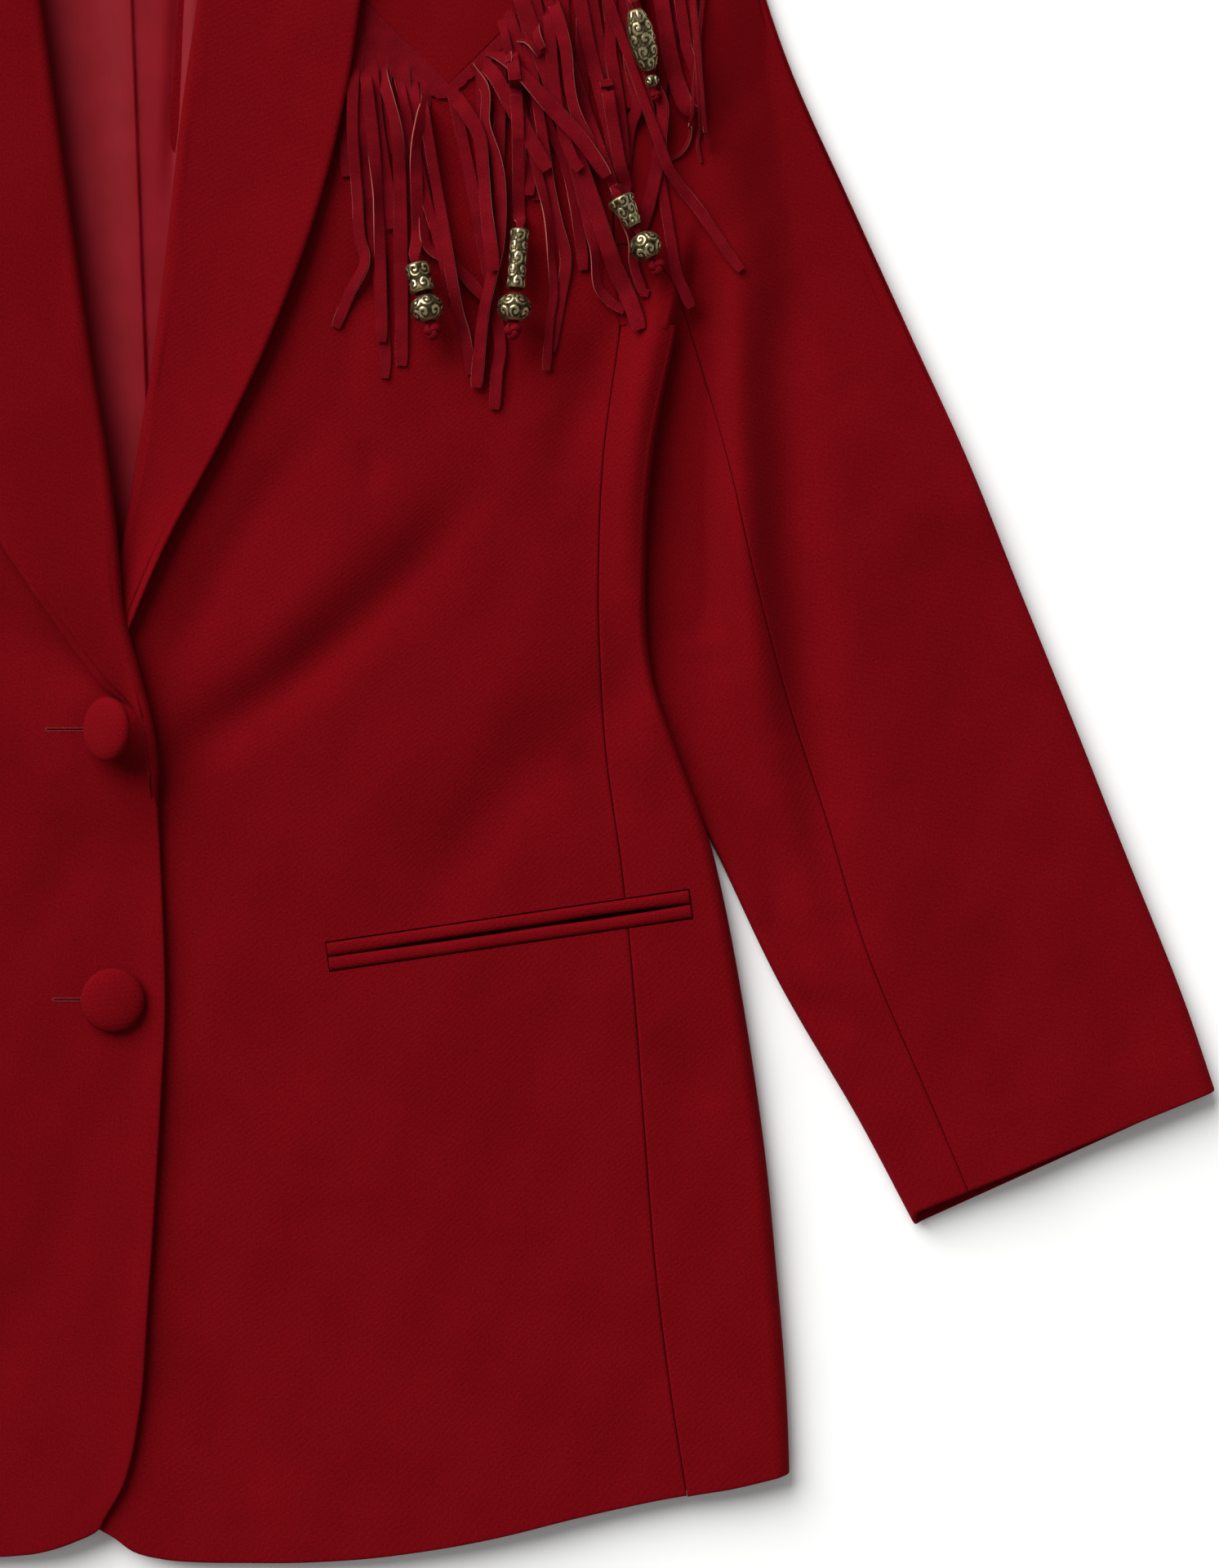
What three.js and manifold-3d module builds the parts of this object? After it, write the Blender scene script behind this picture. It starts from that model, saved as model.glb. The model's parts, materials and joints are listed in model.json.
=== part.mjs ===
// A western blazer laid flat on its back, fronts buttoned right over left. Millimetres, +Z up.
//
// Lengths along the garment are heights above the hem ("y"), and distances to the side are
// measured out from the centre front ("q"), so one set of tables makes both halves.
// The under half is the wearer's left (+X); the top half is the wearer's right (-X).
import * as THREE from "three";
import { mergeVertices } from "three/addons/utils/BufferGeometryUtils.js";
import Module from "manifold-3d";

const wasm = await Module();
wasm.setup();

// Driving sizes
const LENGTH = 823.6; // hem to the top of the collar
const SHOULDER_POINT = { q: 229, y: 742 };
const NECK_POINT = { q: 78, y: 793 };
const WOOL = 1.8; // outer cloth and lining of fronts, sides and back
const SLEEVE_WALL = 1.5;
const COLLAR_WALL = 1.5;
const SEAM = 0.3; // gap between pieces
const FRONT_TOP = 11.8; // outer face of a front, away from the overlap
const UNDER_EDGE_TOP = 9.1; // outer face of the under front at its edge
const TOP_EDGE_LOW = 11.4; // outer face of the top front at its edge, below the lapels
const TOP_EDGE_HIGH = 16; // the same beside the lapels, over the under lapel
const NECK_EDGE = 74; // the front's neck edge at the shoulder seam
const ROLL_SET = 3.4; // the front ends this far inside the collar's roll
const SHOULDER_ROLL = 45; // the fronts roll down to the back over this length
const SIDE_HEM = 36; // the hem rises this much at the side folds
const TUCK = 5.3; // the body's side lies this high over the sleeve's inner edge
const COLLAR_GAP = 0.7; // between the collar's legs and the front that they hold
const OVER_COLLAR = 1.9; // the back lies this high over the collar behind the neck
const BUTTON_RADIUS = 12.9;
const BUTTON_HEIGHT = 6.8;
const SHANK_RADIUS = 1.8;
const BUTTON_RIM = 3.2; // radius of the button's rounded edge
const BUTTONHOLE = { length: 24, width: 1.4, eye: 3 };
const SLOT_TOOL = { bottom: 5, height: 20 }; // blocks that cut slots through the fronts
const POCKET_HALF_LENGTH = 74;
const POCKET_SLIT = 2.4;
const WELT_WIDTH = 4.6;
const WELT_WALL = 1.2;
const FRINGE_LIFT = 0.9; // the fringe over the face of the front
const FRINGE_THICKNESS = 2.2;
const THONG = { width: 2.2, thickness: 1.2 };
const BEAD_BORE = 1.7; // radius
const BEAD_SIDES = 12;
const BEAD_TURN = 0.2; // where the first side of a bead starts, radians
const KNOT_RADIUS = 3.4;

// Materials
const material = (color, roughness, metalness = 0) =>
  new THREE.MeshStandardMaterial({ color, roughness, metalness });
const wool = material("#6e0c12", 0.92);
const satin = material("#80181f", 0.5);
const suede = material("#680a14", 0.98);
const brass = material("#8d8163", 0.38, 1);

// Interpolation in a table whose rows rise in column "key": a smooth curve through the rows.
function at(table, key, value, column) {
  const last = table.length - 1;
  if (value <= table[0][key]) return table[0][column];
  if (value >= table[last][key]) return table[last][column];
  let i = 0;
  while (table[i + 1][key] < value) i++;
  const slope = (a, b) => (table[b][column] - table[a][column]) / (table[b][key] - table[a][key]);
  const tangent = (j) => slope(Math.max(j - 1, 0), Math.min(j + 1, last));
  const step = table[i + 1][key] - table[i][key];
  const t = (value - table[i][key]) / step;
  const near = table[i][column] * (1 + 2 * t) * (1 - t) ** 2 + tangent(i) * step * t * (1 - t) ** 2;
  const far = table[i + 1][column] * t * t * (3 - 2 * t) - tangent(i + 1) * step * t * t * (1 - t);
  return near + far;
}

const mix = (a, b, t) => a + (b - a) * t;
const clamp = (t) => Math.min(1, Math.max(0, t));

// 0 below "from", 1 above "to", smooth between.
function ease(from, to, value) {
  const t = clamp((value - from) / (to - from));
  return t * t * (3 - 2 * t);
}

// Outline of the body. edge: side fold. seam: front side seam. tuck: how far the fold is
// raised over the sleeve.
const sideShape = [
  { y: 20, edge: 275, seam: 234, tuck: 0 },
  { y: 71, edge: 273, seam: 226, tuck: 0 },
  { y: 120, edge: 269, seam: 220, tuck: 0 },
  { y: 170, edge: 264, seam: 216, tuck: 0 },
  { y: 236, edge: 254, seam: 211, tuck: 0 },
  { y: 285, edge: 244, seam: 206, tuck: 0.3 },
  { y: 305, edge: 237.5, seam: 203, tuck: 0.8 },
  { y: 328, edge: 229, seam: 200, tuck: 1 },
  { y: 358, edge: 219, seam: 198, tuck: 1 },
  { y: 394, edge: 216, seam: 197, tuck: 1 },
  { y: 447, edge: 219, seam: 199, tuck: 1 },
  { y: 500, edge: 229, seam: 206, tuck: 1 },
];
const UNDERARM = 500;
const BACK_SEAM_IN = 32; // the back side seam lies this far in from the fold
const frontArmhole = [
  { y: 500, q: 206 },
  { y: 540, q: 203 },
  { y: 580, q: 203.5 },
  { y: 620, q: 206 },
  { y: 680, q: 213.5 },
  { y: 742, q: 229 },
];
const backArmhole = [
  { y: 500, q: 197 },
  { y: 540, q: 206 },
  { y: 600, q: 211 },
  { y: 680, q: 217 },
  { y: 742, q: 229 },
];
// The hem and the front edge of each half; they meet at the corner, which starts the hem.
const hems = {
  under: [
    { q: -5, y: 13.5 },
    { q: 1.3, y: 9.9 },
    { q: 7.9, y: 5 },
    { q: 14.5, y: 2.6 },
    { q: 27, y: 0.6 },
    { q: 50, y: 0 },
    { q: 87, y: 0.8 },
    { q: 120, y: 4 },
    { q: 153, y: 9.8 },
    { q: 186, y: 17.8 },
    { q: 219, y: 24.9 },
    { q: 234, y: 27.6 },
    { q: 252, y: 30.6 },
    { q: 275, y: SIDE_HEM },
  ],
  top: [
    { q: 4, y: 14.6 },
    { q: 6.9, y: 12.2 },
    { q: 11.9, y: 9.9 },
    { q: 18.5, y: 7.3 },
    { q: 25, y: 5.3 },
    { q: 33, y: 3.7 },
    { q: 50, y: 2.6 },
    { q: 97, y: 3.2 },
    { q: 153, y: 9.8 },
    { q: 186, y: 17.8 },
    { q: 219, y: 24.9 },
    { q: 234, y: 27.6 },
  ],
};
const frontEdges = {
  under: [
    { y: 13.5, q: -5 },
    { y: 25, q: -11 },
    { y: 54, q: -18 },
    { y: 104, q: -22 },
    { y: 300, q: -22 },
  ],
  top: [
    { y: 14.6, q: 4 },
    { y: 18.2, q: 2.4 },
    { y: 31, q: -5 },
    { y: 45, q: -9.2 },
    { y: 58, q: -11.4 },
    { y: 71, q: -13.2 },
    { y: 97, q: -15 },
    { y: 137, q: -17.6 },
    { y: 177, q: -20 },
    { y: 229, q: -22.3 },
    { y: 300, q: -19.6 },
  ],
};
const BACK_HEM = 17; // the back's hem at the centre, hidden by the fronts

// The shawl collar from the break of the lapel to the centre back. The columns for the
// under and the top half differ, because the top lapel breaks lower.
const collarShape = [
  { rollY: 320, top: -18.8, under: -20.5, edgeY: 323, topEdge: -15, underEdge: -15, lift: 0 },
  { rollY: 338, top: -16.6, under: -18.5, edgeY: 343, topEdge: -11, underEdge: -11, lift: 0 },
  { rollY: 360, top: -11, under: -10, edgeY: 353, topEdge: 2, underEdge: -4, lift: 0 },
  { rollY: 385, top: -4.6, under: -2, edgeY: 371, topEdge: 18.5, underEdge: 5, lift: 0.5 },
  { rollY: 415, top: -1.8, under: 6, edgeY: 395, topEdge: 35, underEdge: 15, lift: 1 },
  { rollY: 450, top: 2.5, under: 12, edgeY: 420, topEdge: 50, underEdge: 27, lift: 2.5 },
  { rollY: 490, top: 9, under: 18.5, edgeY: 455, topEdge: 66, underEdge: 46, lift: 4 },
  { rollY: 535, top: 15.5, under: 24, edgeY: 500, topEdge: 79, underEdge: 67, lift: 5 },
  { rollY: 585, top: 22.5, under: 29.5, edgeY: 550, topEdge: 91, underEdge: 85, lift: 5 },
  { rollY: 635, top: 29.5, under: 36.5, edgeY: 607, topEdge: 99, underEdge: 98, lift: 4 },
  { rollY: 690, top: 38, under: 43, edgeY: 668, topEdge: 105, underEdge: 105, lift: 3 },
  { rollY: 742, top: 46, under: 48.5, edgeY: 722, topEdge: 106, underEdge: 106, lift: 1.5 },
  { rollY: 775, top: 50.5, under: 52, edgeY: 758, topEdge: 104.5, underEdge: 104.5, lift: 0.6 },
  { rollY: 792, top: 53, under: 53.5, edgeY: 777, topEdge: 102, underEdge: 102, lift: 0.3 },
];
const STAND_DEPTH = 26; // how far the collar's inner leg reaches under the front
// Past the shoulder the collar goes behind the neck: the roll rises, the fall passes
// round the shoulder and under the back, and the stand shows above it. turn: 1 where the
// fall stands on edge.
const collarBehind = [
  { roll: [51.5, 803, 7.6], edge: [101, 788.5, 5.6], stand: [69, 789, 6.6], turn: 1 },
  { roll: [47, 808.5, 5], edge: [96, 787, 0], stand: [62, 787, 6.6], turn: 0 },
  { roll: [38, 815, 4.2], edge: [76, 770, 0], stand: [48, 780.5, 6.6], turn: 0 },
  { roll: [22, 820.5, 4], edge: [46, 762, 0], stand: [27, 776, 6.6], turn: 0 },
  { roll: [0.2, 823, 3.8], edge: [0.2, 760, 0], stand: [0.2, 773, 6.6], turn: 0 },
];

// The sleeve from cuff to armhole, a row for each ring: where the ring meets the outer and
// the inner fold, its height at the outer part and at the inner fold, how wide the thin
// part is, the place of the forearm seam as a share of the width, and how much the ring
// follows the curve of the armhole.
const sleeveRings = [
  { outer: [446.8, 191], inner: [323, 141], tall: 12, thin: 11, flat: 9, seam: 0.19, curve: 0 },
  { outer: [433, 231], inner: [302, 180], tall: 12.5, thin: 10, flat: 9, seam: 0.21, curve: 0 },
  { outer: [410.5, 287], inner: [270.5, 234], tall: 13, thin: 9, flat: 9, seam: 0.25, curve: 0 },
  { outer: [389.5, 340], inner: [246.5, 284], tall: 13, thin: 5.6, flat: 9, seam: 0.3, curve: 0 },
  { outer: [368, 393], inner: [224, 330], tall: 13, thin: 4.4, flat: 10, seam: 0.34, curve: 0 },
  { outer: [347, 445.5], inner: [211.5, 372], tall: 13, thin: 4.3, flat: 12, seam: 0.36, curve: 0 },
  { outer: [323, 498], inner: [208.5, 414], tall: 13, thin: 4.3, flat: 14, seam: 0.36, curve: 0 },
  { outer: [299, 551], inner: [212, 452], tall: 13, thin: 4.3, flat: 25, seam: 0.34, curve: 0.1 },
  { outer: [276, 603], inner: [220, 481], tall: 12.6, thin: 4.3, flat: 32, seam: 0.31, curve: 0.3 },
  { outer: [261, 648], inner: [226, 493], tall: 12.4, thin: 4.4, flat: 20, seam: 0.28, curve: 0.55 },
  { outer: [247, 698], inner: [229.6, 498.6], tall: 12, thin: 4.3, flat: 26, seam: 0.25, curve: 0.8 },
  { outer: [230.5, 742], inner: [231, 500.6], tall: 12, thin: 4.3, flat: 26, seam: 0.22, curve: 1 },
];
const HIND_SEAM = 0.15; // share of the sleeve's width from the outer fold, on the underside
const CUFF_SLIP = { q: 2.52, y: -5.4 }; // the cuff's under layer shows this far past the upper
const TAPER = 42; // the sleeve grows from its thin part to its full height over this width

const halves = [
  { name: "left", sign: 1, roll: "under", edge: "underEdge" },
  { name: "right", sign: -1, roll: "top", edge: "topEdge" },
];

const shoulderSlope = (SHOULDER_POINT.y - NECK_POINT.y) / (SHOULDER_POINT.q - NECK_POINT.q);
const shoulderY = (q) => NECK_POINT.y + shoulderSlope * (q - NECK_POINT.q);

// Heights of the faces of the cloth
function backUnderside(q, y) {
  const a = Math.abs(q);
  const fold = at(sideShape, "y", y, "edge");
  const lifted = at(sideShape, "y", y, "tuck") * (1 - ease(UNDERARM, UNDERARM + 30, y));
  const overSleeve = TUCK * lifted * ease(fold - 40, fold - 16, a);
  const overCollar = OVER_COLLAR * ease(722, 752, y) * (1 - ease(104, 130, a));
  return overSleeve + overCollar;
}

function frontTopFace(half, q, y) {
  const isTop = half.roll === "top";
  const edgeTop = isTop ? mix(TOP_EDGE_LOW, TOP_EDGE_HIGH, ease(270, 345, y)) : UNDER_EDGE_TOP;
  const open = mix(edgeTop, FRONT_TOP, ease(26, 120, q));
  const dip = 2.4 * Math.exp(-(((q - 216) / 34) ** 2) - ((y - 503) / 40) ** 2);
  const seated = backUnderside(q, y) + 2 * WOOL + SEAM;
  const fromShoulder = clamp((shoulderY(q) - y) / SHOULDER_ROLL);
  const roll = Math.sqrt(1 - (1 - fromShoulder) ** 2);
  return mix(seated, open - dip, roll);
}

// A closed wall from a grid of outer points and the same grid of inner points.
function wall(outer, inner, flip = false) {
  const rows = outer.length;
  const columns = outer[0].length;
  const positions = [...outer.flat(), ...inner.flat()].flat();
  const shift = rows * columns;
  const index = [];
  const quad = (a, b, c, d) => {
    if (flip) index.push(a, c, b, a, d, c);
    else index.push(a, b, c, a, c, d);
  };
  const id = (r, c) => r * columns + c;
  for (let r = 0; r < rows - 1; r++) {
    for (let c = 0; c < columns - 1; c++) {
      quad(id(r, c), id(r, c + 1), id(r + 1, c + 1), id(r + 1, c));
      quad(
        shift + id(r, c),
        shift + id(r + 1, c),
        shift + id(r + 1, c + 1),
        shift + id(r, c + 1),
      );
    }
  }
  const rim = (a, b) => quad(shift + a, shift + b, b, a);
  for (let c = 0; c < columns - 1; c++) {
    rim(id(0, c), id(0, c + 1));
    rim(id(rows - 1, c + 1), id(rows - 1, c));
  }
  for (let r = 0; r < rows - 1; r++) {
    rim(id(r + 1, 0), id(r, 0));
    rim(id(r, columns - 1), id(r + 1, columns - 1));
  }
  const geometry = new THREE.BufferGeometry();
  geometry.setAttribute("position", new THREE.Float32BufferAttribute(positions, 3));
  geometry.setIndex(index);
  return geometry;
}

// Booleans
function stripped(geometry) {
  const plain = geometry.clone();
  plain.deleteAttribute("normal");
  plain.deleteAttribute("uv");
  return plain;
}

function toSolid(geometry) {
  const merged = mergeVertices(stripped(geometry), 1e-4);
  return new wasm.Manifold(
    new wasm.Mesh({
      numProp: 3,
      vertProperties: new Float32Array(merged.attributes.position.array),
      triVerts: new Uint32Array(merged.index.array),
    }),
  );
}

function toGeometry(solid) {
  const mesh = solid.getMesh();
  const geometry = new THREE.BufferGeometry();
  const stride = mesh.numProp;
  const positions = new Float32Array(mesh.numVert * 3);
  for (let i = 0; i < mesh.numVert; i++) {
    positions.set(mesh.vertProperties.subarray(i * stride, i * stride + 3), i * 3);
  }
  geometry.setAttribute("position", new THREE.BufferAttribute(positions, 3));
  geometry.setIndex(new THREE.BufferAttribute(mesh.triVerts, 1));
  return geometry;
}

// An upright block with the given outline, [x, y] points counter-clockwise.
function block(outline, bottom, height) {
  const shape = new THREE.Shape(outline.map(([x, y]) => new THREE.Vector2(x, y)));
  const geometry = new THREE.ExtrudeGeometry(shape, { depth: height, bevelEnabled: false });
  return geometry.translate(0, 0, bottom);
}

const cut = (geometry, tool) => toGeometry(toSolid(geometry).subtract(toSolid(tool)));
const common = (geometry, tool) => toGeometry(toSolid(geometry).intersect(toSolid(tool)));

// Outline given for the half with q outwards, turned into x and kept counter-clockwise.
function mirrored(outline, sign) {
  const points = outline.map(([q, y]) => [q * sign, y]);
  return sign < 0 ? points.reverse() : points;
}

// Even shares from 0 to 1, closer together near both ends when "tight" is over 1.
function shares(count, tight = 1) {
  return Array.from({ length: count + 1 }, (_, i) => {
    const t = i / count;
    return tight === 1 ? t : mix(t, 0.5 - 0.5 * Math.cos(Math.PI * t), tight - 1);
  });
}

// The pieces that meet at a side seam have the same rows along it: shares of the way from
// the hem to the underarm, carried on to the shoulder by the front and the back.
const SIDE_ROWS = [0, 0.08, 0.2, 0.32, 0.44, 0.53, 0.6, 0.66, 0.73, 0.8, 0.9, 1];
const SEAM_HEM_Q = 234;
const SEAM_HEM = at(hems.under, "q", SEAM_HEM_Q, "y");
const BACK_SEAM_HEM = at(hems.under, "q", 243, "y");
function sharedRows(hem, above) {
  const lower = (UNDERARM - SEAM - hem) / (SHOULDER_POINT.y - hem);
  return [...SIDE_ROWS.map((share) => share * lower), ...above];
}

// A front or a yoke is a wall between its inner and outer outline.
const FRONT_COLUMNS = [0, 0.1, 0.2, 0.3, 0.42, 0.56, 0.72, 0.86, 1];
const FRONT_ROWS = sharedRows(SEAM_HEM, [0.71, 0.77, 0.84, 0.9, 0.95, 0.985, 1]);

function frontInner(half, y) {
  const first = collarShape[0].rollY;
  const edge = at(frontEdges[half.roll], "y", y, "q");
  const roll = at(collarShape, "rollY", y, half.roll) + ROLL_SET;
  const neck = mix(roll, NECK_EDGE, ease(700, 790, y));
  return mix(edge, neck, ease(first - 16, first, y));
}

function frontOuter(y) {
  if (y < UNDERARM) return at(sideShape, "y", y, "seam");
  return at(frontArmhole, "y", y, "q");
}

function frontGrid(half, up) {
  const hem = hems[half.roll];
  return FRONT_ROWS.map((v) =>
    FRONT_COLUMNS.map((u) => {
      const low = at(hem, "q", mix(hem[0].q, SEAM_HEM_Q, u), "y");
      const high = shoulderY(mix(NECK_EDGE, SHOULDER_POINT.q, u));
      const y = mix(low, high, v);
      const q = mix(frontInner(half, y), frontOuter(y), u);
      return [half.sign * q, y, frontTopFace(half, q, y) + up];
    }),
  );
}

function frontWall(half, up = 0) {
  return wall(frontGrid(half, up), frontGrid(half, up - WOOL), half.sign < 0);
}

// The pocket's slit runs through the front and the side panel.
const POCKET_MIDDLE = { q: 161, y: 256 };
const POCKET_TILT = Math.atan2(65, 445);
function pocketBand(sign, low, high, halfLength) {
  const along = [Math.cos(POCKET_TILT), Math.sin(POCKET_TILT)];
  const corner = (s, t) => [
    POCKET_MIDDLE.q + along[0] * s - along[1] * t,
    POCKET_MIDDLE.y + along[1] * s + along[0] * t,
  ];
  const outline = [
    corner(-halfLength, low),
    corner(halfLength, low),
    corner(halfLength, high),
    corner(-halfLength, high),
  ];
  return mirrored(outline, sign);
}

function slitBlock(sign) {
  const outline = pocketBand(sign, -POCKET_SLIT / 2, POCKET_SLIT / 2, POCKET_HALF_LENGTH - 3);
  return block(outline, SLOT_TOOL.bottom, SLOT_TOOL.height);
}

const buttons = [
  { name: "button_upper", x: -1.3, y: 337, tilt: -0.7, rise: 7.6 },
  { name: "button_lower", x: 1.3, y: 228, tilt: 0, rise: 0 },
];

function buttonholeBlock(button) {
  const { length, width, eye } = BUTTONHOLE;
  const outline = [];
  const open = Math.asin(width / 2 / eye);
  for (const share of shares(12)) {
    const angle = mix(-Math.PI + open, Math.PI - open, share);
    outline.push([button.x + eye * Math.cos(angle), button.y + eye * Math.sin(angle)]);
  }
  outline.push([button.x - length, button.y + width / 2]);
  outline.push([button.x - length, button.y - width / 2]);
  return block(outline, SLOT_TOOL.bottom, SLOT_TOOL.height);
}

function makeFront(half) {
  let geometry = cut(frontWall(half), slitBlock(half.sign));
  if (half.roll === "top") {
    for (const button of buttons) geometry = cut(geometry, buttonholeBlock(button));
  }
  return geometry;
}

// Side panel: from the front side seam round the fold to the back side seam.
const FOLD_SHOULDER = 8; // the cloth starts to turn down this far in from the fold
function sideSection(half, y) {
  const fold = at(sideShape, "y", y, "edge");
  const seam = at(sideShape, "y", y, "seam") + SEAM;
  const low = backUnderside(fold, y);
  const high = frontTopFace(half, fold - FOLD_SHOULDER, y);
  const radius = (high - low) / 2;
  const outer = [];
  const inner = [];
  for (const share of [0, 0.3, 0.65]) {
    const q = mix(seam, fold - radius, share);
    const top = frontTopFace(half, Math.min(q, fold - FOLD_SHOULDER), y);
    outer.push([q, top]);
    inner.push([q, top - WOOL]);
  }
  for (const share of shares(6)) {
    const angle = mix(Math.PI / 2, -Math.PI / 2, share);
    const arc = (r) => [
      fold - radius + r * Math.cos(angle),
      (high + low) / 2 + r * Math.sin(angle),
    ];
    outer.push(arc(radius));
    inner.push(arc(radius - WOOL));
  }
  for (const share of [0.35, 0.7, 1]) {
    const q = mix(fold - radius, fold - BACK_SEAM_IN, share);
    outer.push([q, backUnderside(q, y)]);
    inner.push([q, backUnderside(q, y) + WOOL]);
  }
  return { outer, inner };
}

// Each point of a row has its own height above the hem line under it.
function makeSidePanel(half) {
  const lows = sideSection(half, SIDE_HEM).outer.map(([q]) => at(hems.under, "q", q, "y"));
  lows[0] = SEAM_HEM;
  lows[lows.length - 1] = BACK_SEAM_HEM;
  const grid = (face) =>
    SIDE_ROWS.map((v) =>
      lows.map((low, j) => {
        const y = mix(low, UNDERARM - SEAM, v);
        const [q, z] = sideSection(half, y)[face][j];
        return [half.sign * q, y, z];
      }),
    );
  return cut(wall(grid("outer"), grid("inner"), half.sign < 0), slitBlock(half.sign));
}

// Back: one wall across, with its neck curve between the shoulder seams.
const BACK_COLUMNS = [0, 0.17, 0.34, 0.46, 0.6, 0.75, 0.84, 0.92, 1];
const BACK_ROWS = sharedRows(BACK_SEAM_HEM, [0.72, 0.8, 0.88, 0.93, 0.97, 1]);
const BACK_NECK_DROP = 17;
function backOuter(y) {
  if (y < UNDERARM) return at(sideShape, "y", y, "edge") - BACK_SEAM_IN - SEAM;
  return at(backArmhole, "y", y, "q") - SEAM;
}

function backGrid(up) {
  const across = [...BACK_COLUMNS.slice(1).reverse().map((u) => -u), ...BACK_COLUMNS];
  return BACK_ROWS.map((v) =>
    across.map((u) => {
      const a = Math.abs(u);
      const neck = a * SHOULDER_POINT.q;
      const drop = BACK_NECK_DROP * clamp(1 - (neck / NECK_POINT.q) ** 2);
      const high = neck < NECK_POINT.q ? NECK_POINT.y - drop : shoulderY(neck);
      const y = mix(mix(BACK_HEM, BACK_SEAM_HEM, a * a), high, v);
      const q = a * backOuter(y);
      return [Math.sign(u) * q, y, backUnderside(q, y) + up];
    }),
  );
}

const makeBack = () => wall(backGrid(WOOL), backGrid(0));

// Lining of the back where the neck opening shows it, with its pleat down the centre.
const LINING_WALL = 0.9;
const LINING_GAP = 0.6;
const LINING_ROWS = [0, 0.12, 0.3, 0.5, 0.7, 0.85, 0.94, 1];
const liningColumns = [
  { share: -1, raise: 0 },
  { share: -0.55, raise: 0 },
  { share: -0.06, raise: 0.1 },
  { share: 0.03, raise: 1.1 },
  { share: 0.1, raise: 0.1 },
  { share: 0.55, raise: 0 },
  { share: 1, raise: 0 },
];
function liningGrid(up) {
  return LINING_ROWS.map((v) =>
    liningColumns.map(({ share, raise }) => {
      const y = mix(372, 768 - 3 * share * share, v);
      const q = mix(46, 60, ease(0, 0.6, v)) * mix(1, 0.87, ease(0.7, 1, v)) * share;
      return [q, y, backUnderside(q, y) + WOOL + LINING_GAP + up + raise];
    }),
  );
}

const makeBackLining = () => wall(liningGrid(LINING_WALL), liningGrid(0));

// Yoke: the front's own surface, moved out, inside the yoke's outline. Its lower edge is a
// V; its inner edge lies under the collar, and its outer one goes on to the armhole.
const YOKE_POINT = { q: 136.6, y: 597 };
const YOKE_INNER = 88;
function yokeOutline(half) {
  const reach = 60;
  return mirrored(
    [
      [YOKE_POINT.q, YOKE_POINT.y],
      [YOKE_POINT.q + reach, YOKE_POINT.y + reach],
      [245, 704],
      [245, 800],
      [114, 800],
      [110, 762],
      [YOKE_INNER, 762],
      [YOKE_INNER, YOKE_POINT.y + YOKE_POINT.q - YOKE_INNER],
    ],
    half.sign,
  );
}

function makeYoke(half) {
  return common(frontWall(half, WOOL + SEAM), block(yokeOutline(half), 0, 40));
}

// Collar: stand, roll and fall as one wall bent round the roll line.
const FALL_SHARES = [0.12, 0.34, 0.56, 0.74, 1];
const STAND_LOWEST = 5.4; // where no front lies over it, the stand stays above the lining
function collarRow(half, row) {
  const q = row[half.roll];
  const rollTop = frontTopFace(half, q + 4, row.rollY);
  const below = WOOL + COLLAR_GAP + COLLAR_WALL;
  const lowest = STAND_LOWEST * ease(660, 720, row.rollY);
  const low = Math.max(rollTop - below, lowest);
  const high = rollTop + COLLAR_GAP + COLLAR_WALL;
  const radius = (high - low) / 2;
  const depth = mix(STAND_DEPTH / 2, STAND_DEPTH, ease(338, 415, row.rollY));
  const standEnd = Math.min(q + depth, NECK_POINT.q - 7);
  const standAt = (share) => {
    const standQ = mix(q + radius, standEnd, share);
    const top = frontTopFace(half, standQ, row.rollY);
    return [standQ, row.rollY, Math.max(top - below, lowest)];
  };
  const outer = [standAt(1), standAt(0.5)];
  const inner = outer.map(([x, y, z]) => [x, y, z + COLLAR_WALL]);
  for (const share of shares(4)) {
    const angle = mix(-Math.PI / 2, -1.5 * Math.PI, share);
    const arc = (r) => [
      q + radius + r * Math.cos(angle),
      row.rollY,
      (low + high) / 2 + r * Math.sin(angle),
    ];
    outer.push(arc(radius));
    inner.push(arc(radius - COLLAR_WALL));
  }
  for (const share of FALL_SHARES) {
    const fallQ = mix(q + radius, row[half.edge], share);
    const y = mix(row.rollY, row.edgeY, share);
    const onYoke = (WOOL + SEAM) * ease(608, 628, y) * ease(68, 84, fallQ);
    const top = frontTopFace(half, fallQ, y) + COLLAR_GAP + onYoke + row.lift * share * share;
    outer.push([fallQ, y, top + COLLAR_WALL]);
    inner.push([fallQ, y, top]);
  }
  return { outer, inner };
}

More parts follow.
